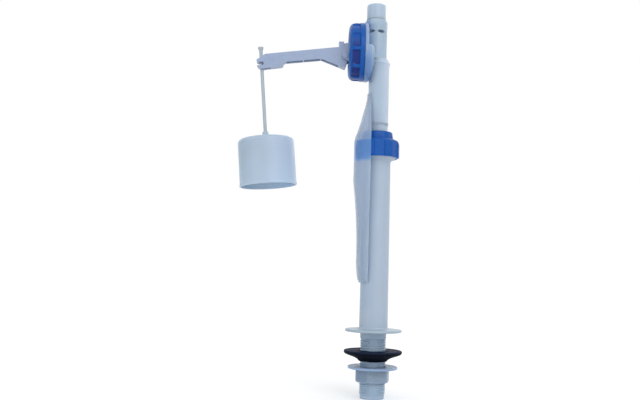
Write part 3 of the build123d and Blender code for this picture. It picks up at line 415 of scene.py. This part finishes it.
def natural_looks(natural):
    """What milky is told for each material of natural polypropylene."""
    tail = PIPE_LOW.z
    nut_foot, nut_top = LOCK_LOW.z, LOCK_HIGH.z
    skirt_top = nut_top - 8.9
    cup_x = ROD_FOOT.x
    return {
        "natural_pipe": dict(colour=dyed(natural, 0.93, 0.92, 0.91), soft=0.12, painted_tints=(
            # Painted shade on the flange and under it, a darker, bluer tail thread, and painted
            # shade down the tube's float side.
            (PAINTED_RIM_SHADE, 0.6, (("Z", 2.3, 3.4), ("Z", -0.2, -1.0))),
            (dyed(natural, 0.86, 0.92, 0.97), 0.8, (("Z", -0.6, 0.0),)),
            (dyed(natural, 0.80, 0.87, 0.91), 0.95,
             (("Z", -5.6, -4.9), ("Z", tail + 2.9, tail + 2.2))),
            (dyed(natural, 0.84, 0.86, 0.90), 0.85, (("X", -8.0, 1.5), ("Z", 22, 14))),
        )),
        "natural_head": dict(colour=shaded(natural, 1.07, warm=-0.05), clear=0.03, painted_tints=(
            # Painted shade and the ring nut's blue next to the ring nut, then the ring nut's blue
            # painted twice more down the hood below it.
            (dyed(natural, 0.64, 0.76, 1.02), 0.85, (("X", -9.5, -7.0),)),
            (dyed(natural, 0.85, 0.92, 1.08), 0.5,
             (("X", -7.0, -4.0), ("Z", RING_HEIGHT - 3, RING_HEIGHT + 3))),
            (PAINTED_RING_BLUE, 0.7, (("X", -7.0, -5.0), ("Z", RING_HEIGHT - 14, RING_HEIGHT - 1))),
        )),
        "natural_jacket": dict(colour=dyed(natural, 1.15, 1.19, 1.26), clear=0.04, painted_tints=(
            # Painted light on the side away from the float.
            (dyed(natural, 1.65, 1.60, 1.85), 0.85, (("X", 9.0, -1.0),)),
        )),
        "natural_shroud": dict(
            colour=dyed(natural, 0.91, 0.95, 1.04), clear=0.22, roughness=0.3, painted_tints=(
                # Painted light next to the open edges below the lock nut, where shade lies, then
                # painted light all above the nut.
                (dyed(natural, 1.10, 1.12, 1.16), 0.9,
                 (("X", STRAP_X - 0.5, -14.0), ("Z", nut_foot - 4, nut_foot + 3))),
                (dyed(natural, 1.02, 1.02, 1.10), 0.8, (("Z", nut_top - 2, nut_top - 6),)),
                # The lock nut's blue, painted as if seen through the shroud: faint beside the
                # nut's band and strong over its skirt.
                (PAINTED_NUT_BLUE, 0.30,
                 (("Z", nut_top - 7.2, skirt_top), ("Z", nut_top - 2.5, nut_top + 0.5))),
                (PAINTED_NUT_BLUE, 0.95,
                 (("Z", nut_foot - 2, nut_foot - 4.8), ("Z", skirt_top, nut_top - 7.2))),
                # Painted light on the strap, where shade lies in its gap.
                (dyed(natural, 1.2, 1.2, 1.2), 0.8,
                 (("X", STRAP_X + 0.6, STRAP_X - 1.2), ("Z", nut_top - 2, nut_top - 6))),
            )),
        "natural_arm": dict(colour=dyed(natural, 0.71, 0.72, 0.82), soft=0.12),
        "natural_cup": dict(colour=shaded(natural, 0.97), painted_tints=(
            # Painted shade on the side away from the stand pipe, then painted light on the side
            # towards it.
            (dyed(natural, 0.82, 0.86, 0.88), 0.9, (("X", cup_x - 22, cup_x + 4),)),
            (dyed(natural, 1.02, 1.02, 1.10), 0.9, (("X", cup_x + 20, cup_x + 6),)),
        )),
        "natural_cap": dict(colour=natural),
        "natural_nut": dict(colour=dyed(natural, 0.62, 0.67, 0.69), painted_tints=(
            # Painted shade on the flat on the float's side.
            (dyed(natural, 0.52, 0.58, 0.65), 0.9, (("X", -5.6, -4.2),)),
        )),
        "natural_washer": dict(colour=dyed(natural, 0.64, 0.72, 0.85)),
    }


def finish(name):
    """One of the valve's materials, made when it is first asked for."""
    if name in bpy.data.materials:
        return bpy.data.materials[name]
    colours = bpy.context.scene.valve_colours
    looks = natural_looks(colours.natural)
    if name in looks:
        return milky(name, **looks[name])
    if name == "blue_nut":
        return glossy_blue(name, colours.blue)
    if name == "blue_ring":
        # Painted shade in the ring nut's pockets.
        return glossy_blue(name, colours.blue, sunk=(23.3, RING_LOW.x + 2.2))
    if name == "cone_rubber":
        # A painted slate-blue reflection on the washer's top.
        return rubbery(name, colours.rubber, shaded(colours.rubber, 1.8),
                       painted_sheen=(CONE_HIGH.z - 0.4, CONE_HIGH.z - 1.6))
    if name == "seal_rubber":
        return rubbery(name, colours.seal, shaded(colours.seal, 1.4))
    return smooth_acetal(name, colours.acetal)


# Shapes -----------------------------------------------------------------------


def turned(points, steps=96):
    """A closed outline of (radius, height, rounding) in mm, spun round the Z axis."""
    form = bmesh.new()
    corners = [form.verts.new((point[0], 0, point[1])) for point in points]
    form.faces.new(corners)
    wanted = [point[2] if len(point) > 2 else 0 for point in points]
    for size in sorted(set(wanted) - {0}):
        rounded = [corner for corner, want in zip(corners, wanted) if want == size]
        bmesh.ops.bevel(
            form, geom=rounded, offset=size, offset_type="OFFSET", segments=4,
            profile=0.5, affect="VERTICES", material=-1,
        )
    bmesh.ops.delete(form, geom=list(form.faces), context="FACES_ONLY")
    bmesh.ops.spin(
        form, geom=list(form.verts) + list(form.edges), cent=(0, 0, 0), axis=(0, 0, 1),
        dvec=(0, 0, 0), angle=TURN, steps=steps, use_merge=True, use_duplicate=False,
    )
    bmesh.ops.remove_doubles(form, verts=form.verts, dist=MERGE)
    bmesh.ops.recalc_face_normals(form, faces=form.faces)
    return form


def add_thread(form, root, crest, pitch, low, high, flat=None):
    """Wind a ridge of rising pitch round the Z axis, fading out at both ends.

    The front and back of the ridge are cut back to flat, where it is given.
    """
    steps = 48
    sunk = root - 0.15
    # Shares of the pitch: the crest's foot and top, and the gap left below the next turn.
    crest_foot, crest_top, gap = 0.30, 0.46, 0.2
    # Turns from either end to where the ridge starts to rise, and that it takes to rise.
    plain, rise = 0.3, 0.6
    turns = (high - low) / pitch - 1
    ridge = bmesh.new()
    section = [
        ridge.verts.new((radius, 0, low + share * pitch))
        for radius, share in ((sunk, 0), (crest, crest_foot), (crest, crest_top), (sunk, 1 - gap))
    ]
    start = ridge.faces.new(section)
    bmesh.ops.spin(
        ridge, geom=section + list(ridge.edges) + [start], cent=(0, 0, 0), axis=(0, 0, 1),
        dvec=(0, 0, pitch / steps), angle=TURN * turns, steps=round(steps * turns),
    )
    bmesh.ops.recalc_face_normals(ridge, faces=ridge.faces)
    for vert in ridge.verts:
        radius = hypot(vert.co.x, vert.co.y)
        run = min(vert.co.z - low, high - gap * pitch - vert.co.z) / pitch - plain
        share = max(0.0, min(1.0, run / rise))
        if radius > root:
            wanted = sunk + (radius - sunk) * share
            vert.co.x *= wanted / radius
            vert.co.y *= wanted / radius
        if flat:
            vert.co.y = max(-flat, min(flat, vert.co.y))
    mesh = bpy.data.meshes.new("ridge")
    ridge.to_mesh(mesh)
    ridge.free()
    form.from_mesh(mesh)
    bpy.data.meshes.remove(mesh)


def off_nearest(vert, count, turn):
    """A corner's angle off the nearest of count directions, the first of them at turn."""
    angle = atan2(vert.co.y, vert.co.x) - turn
    return (angle + pi / count) % (TURN / count) - pi / count


def press(form, count, turn, half_width, apothem, low, high):
    """Press flats into a turned form: count of them, half_width wide each side."""
    for vert in form.verts:
        if not low <= vert.co.z <= high:
            continue
        radius = hypot(vert.co.x, vert.co.y)
        off = off_nearest(vert, count, turn)
        if abs(radius * sin(off)) <= half_width and radius * cos(off) > apothem:
            vert.co.x *= apothem / (radius * cos(off))
            vert.co.y *= apothem / (radius * cos(off))


def sink(form, count, turn, half_rib, floor, low, high):
    """Sink a turned form's outside to the radius floor, leaving count ribs."""
    for vert in form.verts:
        radius = hypot(vert.co.x, vert.co.y)
        if not low <= vert.co.z <= high or radius <= floor:
            continue
        if abs(radius * sin(off_nearest(vert, count, turn))) > half_rib:
            share = floor / radius
            vert.co.x *= share
            vert.co.y *= share


def fill_lip(form):
    """Fill the jacket's lip out to the barrel's foot, fading out behind the barrel."""
    foot, tube_radius, lip_radius = JACKET_HIGH.z - 3.2, 7.3, 8.95
    full, none = 3.0, 6.0
    for vert in form.verts:
        radius = hypot(vert.co.x, vert.co.y)
        if vert.co.z > foot and radius > tube_radius:
            share = max(0.0, min(1.0, (none - vert.co.x) / (none - full)))
            fuller = 1 + share * (lip_radius / radius - 1)
            vert.co.x *= fuller
            vert.co.y *= fuller


def cut_rings(form, heights):
    """Cut level rings round a form at the given heights."""
    for height in heights:
        bmesh.ops.bisect_plane(
            form, geom=list(form.verts) + list(form.edges) + list(form.faces), dist=MERGE,
            plane_co=(0, 0, height), plane_no=(0, 0, 1),
        )


def place(form, matrix):
    """Put a form, drawn round the Z axis, where its piece stands."""
    bmesh.ops.transform(form, matrix=matrix, verts=form.verts)
    return form


def made(form, node, body, material, sharp=28, edge=0.0):
    """Turn a form in mm into a piece that stands for a CAD node."""
    bmesh.ops.scale(form, vec=(MM, MM, MM), verts=form.verts)
    mesh = bpy.data.meshes.new(node + "_finished")
    form.to_mesh(mesh)
    form.free()
    mesh.materials.append(finish(material))
    mesh.shade_smooth()
    mesh.set_sharp_from_angle(angle=radians(sharp))
    piece = bpy.data.objects.new(node + "_finished", mesh)
    bpy.context.scene.collection.objects.link(piece)
    if edge:
        softened = piece.modifiers.new("Moulded edges", "BEVEL")
        softened.width = edge * MM
        softened.segments = 2
        softened.limit_method = "ANGLE"
        softened.angle_limit = radians(35)
        softened.harden_normals = True
    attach(piece, body)
    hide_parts(node)
    return piece


def copied(node):
    """A merged copy of a CAD node's mesh, in mm, ready to be finished."""
    form = bmesh.new()
    form.from_mesh(frame["nodes"][node].data)
    bmesh.ops.scale(form, vec=(1 / MM, 1 / MM, 1 / MM), verts=form.verts)
    bmesh.ops.remove_doubles(form, verts=form.verts, dist=MERGE)
    bmesh.ops.dissolve_limit(
        form, angle_limit=radians(0.5), verts=form.verts, edges=form.edges
    )
    return form


def surfaced(node, material):
    """Give a CAD node that stays its material."""
    piece = frame["nodes"][node]
    piece.data.materials.clear()
    piece.data.materials.append(finish(material))


# The stage --------------------------------------------------------------------


def seen(tree):
    """One for what the camera, a gloss or a see-through surface shows, else nought."""
    path = tree.nodes.new("ShaderNodeLightPath")
    value = path.outputs["Is Camera Ray"]
    for other in ("Is Glossy Ray", "Is Transmission Ray"):
        larger = tree.nodes.new("ShaderNodeMath")
        larger.operation = "MAXIMUM"
        tree.links.new(value, larger.inputs[0])
        tree.links.new(path.outputs[other], larger.inputs[1])
        value = larger.outputs["Value"]
    return value


def white_floor():
    """The floor's material, a matt white.

    It glows more the further it is from the lamps, so that it stays one white and
    still shows the shadow round the valve.
    """
    near, far = 0.15, 1.6
    near_glow, far_glow = 0.25, 0.42
    paint = bpy.data.materials.new("pale_floor")
    paint.use_nodes = True
    tree = paint.node_tree
    shader = tree.nodes["Principled BSDF"]
    shader.inputs["Base Color"].default_value = (*FLOOR_WHITE, 1)
    shader.inputs["Roughness"].default_value = 0.9
    shader.inputs["Specular IOR Level"].default_value = 0.0
    glow = tree.nodes.new("ShaderNodeEmission")
    lifted = tree.nodes.new("ShaderNodeAddShader")
    place_on_floor = tree.nodes.new("ShaderNodeTexCoord").outputs["Object"]
    reach = vector(tree, "LENGTH", place_on_floor)
    lift = ranged(tree, reach, near, far, near_glow, far_glow)
    tree.links.new(times(tree, seen(tree), lift), glow.inputs["Strength"])
    tree.links.new(shader.outputs["BSDF"], lifted.inputs[0])
    tree.links.new(glow.outputs["Emission"], lifted.inputs[1])
    tree.links.new(lifted.outputs["Shader"], tree.nodes["Material Output"].inputs["Surface"])
    return paint


def even_light(daylight):
    """A world that lights the valve by daylight and is seen as white."""
    world = bpy.data.worlds.new("studio")
    world.use_nodes = True
    tree = world.node_tree
    sky = tree.nodes["Background"]
    sky.inputs["Color"].default_value = (1, 1, 1, 1)
    level = ranged(tree, seen(tree), 0, 1, daylight, 1.0)
    tree.links.new(level, sky.inputs["Strength"])
    return world


def lamp(name, spot, power):
    """A soft square lamp at a spot, facing the middle of the valve."""
    light = bpy.data.lights.new(name, "AREA")
    light.size = LAMP_SIZE
    light.energy = power
    holder = bpy.data.objects.new(name, light)
    bpy.context.scene.collection.objects.link(holder)
    holder.location = spot
    holder.rotation_euler = (LAMP_AIM - Vector(spot)).to_track_quat("-Z", "Y").to_euler()


# Operators: one for each piece or group of like pieces ------------------------


class VALVE_OT_stand_pipe(bpy.types.Operator):
    """Build the stand pipe with its flange, flared collar and two wound threads"""

    bl_idname = "valve.stand_pipe"
    bl_label = "Stand pipe"

    def execute(self, context):
        sizes = context.scene.valve_sizes
        tail, mouth = PIPE_LOW.z, PIPE_HIGH.z
        neck, nose, start = -5.2, 2.6, 0.5
        thread_foot, thread_top = tail + nose - start, neck + 0.8
        flange_radius, flange_top = PIPE_HIGH.x, 2.0
        collar_foot, collar_top, collar_radius = 137.6, 140.4, 15.2
        gland_root = sizes.gland_crest - 1.16
        gland_foot, gland_top = 141.8, 150.0
        lip_radius = 12.6
        seal_bore, seal_seat = 10.4, mouth - 4
        riser_bore, riser_foot, water_bore = 9.1, 60, 7.6
        tail_bore, strainer_bore, strainer_seat = 6.0, 8.3, tail + 1.6
        form = turned([
            (strainer_bore, tail), (sizes.tail_root, tail, 0.7), (sizes.tail_root, neck - 0.6),
            (sizes.tail_crest, neck, 0.3), (sizes.tail_crest, 0, 0.4),
            (flange_radius, 0, 0.7), (flange_radius, flange_top, 0.7), (12.6, flange_top, 0.9),
            (11.5, 3.4, 0.9), (10.9, collar_foot, 1.2), (collar_radius, collar_top, 0.5),
            (collar_radius, gland_foot, 0.4), (gland_root, gland_foot), (gland_root, gland_top),
            (lip_radius, gland_top, 0.3), (lip_radius, mouth, 0.4), (seal_bore, mouth, 0.4),
            (seal_bore, seal_seat), (riser_bore, seal_seat), (riser_bore, riser_foot),
            (water_bore, riser_foot), (water_bore, neck), (tail_bore, neck - 1.6),
            (tail_bore, strainer_seat), (strainer_bore, strainer_seat),
        ], steps=120)
        cut_rings(form, [30, 60, 90, 115])
        add_thread(form, sizes.tail_root, sizes.tail_crest, sizes.tail_pitch,
                   thread_foot, thread_top, flat=9.6)
        add_thread(form, gland_root, sizes.gland_crest, sizes.gland_pitch,
                   gland_foot, gland_top)
        made(form, "stand_pipe", "base", "natural_pipe")
        return {"FINISHED"}


class VALVE_OT_tail_washers(bpy.types.Operator):
    """Build the conical rubber washer and the thin slip washer on the tail"""

    bl_idname = "valve.tail_washers"
    bl_label = "Tail washers"

    def execute(self, context):
        bore = 10.58
        low, high, rim = CONE_LOW.z, CONE_HIGH.z, CONE_HIGH.x
        dish = high - 0.35
        form = turned([
            (bore, low, 0.2), (11.4, low, 0.5), (11.9, low + 1.0, 0.5), (14.4, low + 2.7, 1.5),
            (rim - 1.2, high - 3.0, 1.4), (rim, high - 2.0, 0.9), (rim - 0.1, high, 0.8),
            (rim - 1.9, high, 0.3), (rim - 2.5, dish, 0.3), (13.4, dish, 0.3),
            (12.9, high, 0.2), (bore, high, 0.2),
        ], steps=120)
        made(form, "cone_washer", "cone_washer", "cone_rubber")
        low, high, rim = SLIP_LOW.z, SLIP_HIGH.z, SLIP_HIGH.x
        dish = high - 0.25
        form = turned([
            (bore, low, 0.2), (rim, low, 0.6), (rim, high, 0.6), (rim - 2.4, high, 0.3),
            (rim - 2.9, dish, 0.3), (12.6, dish, 0.3), (12.2, high, 0.2), (bore, high, 0.2),
        ], steps=120)
        made(form, "slip_washer", "slip_washer", "natural_washer")
        return {"FINISHED"}


class VALVE_OT_back_nut(bpy.types.Operator):
    """Build the hexagonal back nut from a chamfered blank with six pressed flats"""

    bl_idname = "valve.back_nut"
    bl_label = "Back nut"

    def execute(self, context):
        sizes = context.scene.valve_sizes
        low, high = NUT_LOW.z, NUT_HIGH.z
        apothem, corner = sizes.nut_flats / 2, 14.15
        flats, turn = 6, radians(109)
        bore, lead = sizes.tail_crest + 0.1, 0.5
        form = turned([
            (bore + lead, low), (apothem - 0.3, low, 0.2), (corner, low + 0.9, 0.5),
            (corner, high - 0.4, 0.3), (corner - 0.4, high, 0.2), (bore + lead, high),
            (bore, high - lead), (bore, low + lead),
        ], steps=144)
        press(form, flats, turn, corner, apothem, low - 1, high + 1)
        made(form, "back_nut", "back_nut", "natural_nut", sharp=20)
        return {"FINISHED"}


class VALVE_OT_lock_nut(bpy.types.Operator):
    """Build the blue lock nut: a domed skirt with flutes, and a band with flats"""

    bl_idname = "valve.lock_nut"
    bl_label = "Lock nut"

    def execute(self, context):
        sizes = context.scene.valve_sizes
        low, top = LOCK_LOW.z, LOCK_HIGH.z
        shoulder = top - 6.2
        skirt, upper, crown = 17.9, 12.9, 12.0
        skirt_bore, skirt_roof = 15.6, 142.2
        thread_bore, thread_top = 14.2, 151.1
        collet_bore, cone_foot, cone_top = 13.1, 152.3, 154.6
        flutes, turn, half = 7, radians(-88), sizes.lock_flute / 2
        flute_depth, flat_depth = 1.5, 0.7
        form = turned([
            (skirt, low + 0.4, 0.5), (skirt - 0.9, low, 0.4), (skirt_bore, low, 0.3),
            (skirt_bore, skirt_roof), (thread_bore, skirt_roof), (thread_bore, thread_top),
            (collet_bore, thread_top), (collet_bore, cone_foot), (9.3, cone_top), (8.95, top),
            (crown, top, 0.6), (upper, shoulder, 0.25), (skirt, shoulder, 4.0),
        ], steps=252)
        cut_rings(form, [low + 4, low + 7, low + 10, shoulder + 0.6, shoulder + 2, shoulder + 3])
        press(form, flutes, turn, half, skirt - flute_depth, low - 1, shoulder - 0.1)
        press(form, flutes, turn, half, upper - flat_depth, shoulder + 0.3, top - 0.5)
        made(form, "lock_nut", "lock_nut", "blue_nut", sharp=24)
        return {"FINISHED"}


class VALVE_OT_riser(bpy.types.Operator):
    """Finish the jacket tube and the see-through outlet shroud"""

    bl_idname = "valve.riser"
    bl_label = "Jacket and shroud"

    def execute(self, context):
        edge = context.scene.valve_sizes.edge
        form = copied("jacket_tube")
        fill_lip(form)
        made(form, "jacket_tube", "riser", "natural_jacket",
             edge=edge)
        made(copied("outlet_shroud"), "outlet_shroud", "riser", "natural_shroud",
             edge=edge)
        return {"FINISHED"}


class VALVE_OT_head(bpy.types.Operator):
    """Finish the valve head and build the cap on its barrel"""

    bl_idname = "valve.head"
    bl_label = "Head and cap"

    def execute(self, context):
        edge = context.scene.valve_sizes.edge
        made(copied("head_body"), "head_body", "riser", "natural_head",
             edge=edge)
        radius, top, foot = CAP_HIGH.x - CAP_X, CAP_HIGH.z, CAP_LOW.z
        seat, plug, wall = top - 12.0, 7.1, 1.4
        dimple = top - 0.25
        form = turned([
            (0, dimple), (2.0, dimple, 0.2), (2.4, top, 0.2), (radius, top, 0.8),
            (radius, seat, 0.25), (plug, seat, 0.1), (plug, foot, 0.6), (plug - wall, foot, 0.3),
            (plug - wall, top - wall), (0, top - wall),
        ])
        place(form, Matrix.Translation((CAP_X, 0, 0)))
        made(form, "top_cap", "cap", "natural_cap")
        return {"FINISHED"}


class VALVE_OT_ring_nut(bpy.types.Operator):
    """Build the blue ring nut, with a domed front and pockets between its ribs"""

    bl_idname = "valve.ring_nut"
    bl_label = "Ring nut"

    def execute(self, context):
        sizes = context.scene.valve_sizes
        front, back = RING_LOW.x, RING_HIGH.x
        radius, bore, opening = 23.5, 21.5, 17.2
        dome, lip = 5.2, -23.75
        rim, bead = back - 3.6, 0.3
        pocket_front, pocket_back = rim - 8.1, rim
        ribs, turn, half_rib = 10, radians(-10.8), 3.4 / 2
        form = turned([
            (opening, front, 0.5), (radius, front, dome), (radius, rim, 0.1),
            (radius + bead, rim + bead, 0.1), (radius + bead, back, 0.5), (bore, back, 0.3),
            (bore, lip), (opening, lip, 0.3),
        ], steps=240)
        cut_rings(form, [pocket_front, pocket_front + 0.7, pocket_front + 2.5,
                         pocket_back - 2.5, pocket_back - 0.7])
        sink(form, ribs, turn, half_rib, radius - sizes.pocket,
             pocket_front + 0.4, pocket_back - 0.4)
        place(form, Matrix.Translation((0, 0, RING_HEIGHT)) @ Matrix.Rotation(pi / 2, 4, "Y"))
        made(form, "ring_nut", "ring_nut", "blue_ring", sharp=24)
        return {"FINISHED"}


class VALVE_OT_cover(bpy.types.Operator):
    """Finish the front cover with its pilot jet and the arm's two cheeks"""

    bl_idname = "valve.cover"
    bl_label = "Front cover"

    def execute(self, context):
        made(copied("front_cover"), "front_cover", "cover", "natural_arm",
             edge=context.scene.valve_sizes.edge)
        return {"FINISHED"}


class VALVE_OT_float_arm(bpy.types.Operator):
    """Finish the float arm with its tab, stop wedge and snap-in jaws"""

    bl_idname = "valve.float_arm"
    bl_label = "Float arm"

    def execute(self, context):
        made(copied("float_arm"), "float_arm", "arm", "natural_arm",
             edge=context.scene.valve_sizes.edge)
        return {"FINISHED"}


class VALVE_OT_float(bpy.types.Operator):
    """Build the float rod with its trumpet head, and the cup with its crowned top"""

    bl_idname = "valve.float"
    bl_label = "Float rod and cup"

    def execute(self, context):
        stand = Matrix.Translation(ROD_FOOT) @ Matrix.Rotation(-ARM_DROOP, 4, "Y")
        rod, head, head_top = 1.42, 2.3, 12.7
        cup_top, cup_bottom, cup_radius, wall = -63.2, -102.6, 22.9, 1.1
        plate = cup_top - wall
        stop, foot = plate - 0.05, plate - 2.0
        form = turned([
            (0, head_top), (head, head_top, 0.2), (head, head_top - 0.7, 0.3),
            (rod, head_top - 3.6, 1.4), (rod, stop, 0.05), (2.2, stop, 0.3),
            (rod - 0.3, foot, 0.3), (0, foot),
        ], steps=40)
        made(place(form, stand), "float_rod", "float", "acetal")
        inner, bore, neck_top = cup_radius - wall, 1.45, -57.7
        rim = cup_radius + 0.5
        form = turned([
            (bore, neck_top), (2.3, neck_top, 0.3), (2.6, -60.5, 1.5), (5.2, cup_top + 0.1, 1.2),
            (12.0, cup_top - 0.25, 2.0), (cup_radius, cup_top - 0.8, 3.2),
            (cup_radius + 0.2, cup_bottom + 2.0, 0.3), (rim, cup_bottom + 1.6, 0.2),
            (rim, cup_bottom, 0.3), (inner + 0.2, cup_bottom, 0.3),
            (inner, cup_top - 1.9, 2.4), (bore + 5.2, plate), (bore, plate),
        ], steps=120)
        cut_rings(form, [-75, -85, -95])
        made(place(form, stand), "float_cup", "float", "natural_cup")
        return {"FINISHED"}


class VALVE_OT_inner_parts(bpy.types.Operator):
    """Give the seals, the pins and the parts inside the valve their materials"""

    bl_idname = "valve.inner_parts"
    bl_label = "Inner parts"

    def execute(self, context):
        hard = ("inlet_strainer", "flow_restrictor", "clamp_collet", "riser_pipe",
                "nozzle_seat", "seat_disc", "metering_pin")
        seals = ("gland_seal", "piston_rings", "head_ring", "diaphragm", "pilot_pad")
        for node in hard:
            surfaced(node, "acetal")
        for node in seals:
            surfaced(node, "seal_rubber")
        surfaced("pivot_pin", "natural_arm")
        surfaced("cap_gasket", "natural_nut")
        return {"FINISHED"}


class VALVE_OT_stage(bpy.types.Operator):
    """Set the pale floor, the even light and the camera"""

    bl_idname = "valve.stage"
    bl_label = "Stage"

    def execute(self, context):
        scene = context.scene
        setting = scene.valve_stage
        ground = bmesh.new()
        bmesh.ops.create_grid(ground, x_segments=8, y_segments=8, size=14)
        clearance = 0.0001
        bmesh.ops.translate(ground, vec=(0, 0, PIPE_LOW.z * MM - clearance), verts=ground.verts)
        mesh = bpy.data.meshes.new("floor")
        ground.to_mesh(mesh)
        ground.free()
        mesh.materials.append(white_floor())
        floor = bpy.data.objects.new("floor", mesh)
        scene.collection.objects.link(floor)

        scene.world = even_light(setting.daylight)
        for name, spot, power in LAMPS:
            lamp(name, spot, power)

        camera = bpy.data.cameras.new("camera")
        camera.sensor_width = 36
        camera.lens = setting.lens
        camera.shift_x, camera.shift_y = CAMERA_SHIFT
        view = bpy.data.objects.new("camera", camera)
        scene.collection.objects.link(view)
        view.matrix_world = (
            Matrix.Translation(CAMERA_PLACE)
            @ Matrix.Rotation(pi / 2 + CAMERA_PITCH, 4, "X")
            @ Matrix.Rotation(CAMERA_ROLL, 4, "Z")
        )
        scene.camera = view
        scene.view_settings.view_transform = "Standard"
        return {"FINISHED"}


class VALVE_PT_panel(bpy.types.Panel):
    """The valve's settings and its pieces"""

    bl_idname = "VALVE_PT_panel"
    bl_label = "Float Valve"
    bl_space_type = "VIEW_3D"
    bl_region_type = "UI"
    bl_category = "Float Valve"

    def draw(self, context):
        scene = context.scene
        for group in (scene.valve_sizes, scene.valve_colours, scene.valve_stage):
            for name in group.bl_rna.properties.keys():
                if name not in ("rna_type", "name"):
                    self.layout.prop(group, name)
        for operator in OPERATORS:
            self.layout.operator(operator.bl_idname)


GROUPS = (ValveSizes, ValveColours, ValveStage)
OPERATORS = (
    VALVE_OT_stand_pipe, VALVE_OT_tail_washers, VALVE_OT_back_nut, VALVE_OT_lock_nut,
    VALVE_OT_riser, VALVE_OT_head, VALVE_OT_ring_nut, VALVE_OT_cover, VALVE_OT_float_arm,
    VALVE_OT_float, VALVE_OT_inner_parts, VALVE_OT_stage,
)


def register():
    for group in GROUPS:
        bpy.utils.register_class(group)
    bpy.types.Scene.valve_sizes = PointerProperty(type=ValveSizes)
    bpy.types.Scene.valve_colours = PointerProperty(type=ValveColours)
    bpy.types.Scene.valve_stage = PointerProperty(type=ValveStage)
    for operator in OPERATORS:
        bpy.utils.register_class(operator)
    bpy.utils.register_class(VALVE_PT_panel)


def unregister():
    bpy.utils.unregister_class(VALVE_PT_panel)
    for operator in reversed(OPERATORS):
        bpy.utils.unregister_class(operator)
    del bpy.types.Scene.valve_stage
    del bpy.types.Scene.valve_colours
    del bpy.types.Scene.valve_sizes
    for group in reversed(GROUPS):
        bpy.utils.unregister_class(group)


def main():
    register()
    bpy.ops.valve.stand_pipe()
    bpy.ops.valve.tail_washers()
    bpy.ops.valve.back_nut()
    bpy.ops.valve.lock_nut()
    bpy.ops.valve.riser()
    bpy.ops.valve.head()
    bpy.ops.valve.ring_nut()
    bpy.ops.valve.cover()
    bpy.ops.valve.float_arm()
    bpy.ops.valve.float()
    bpy.ops.valve.inner_parts()
    bpy.ops.valve.stage()


if __name__ == "__main__":
    main()
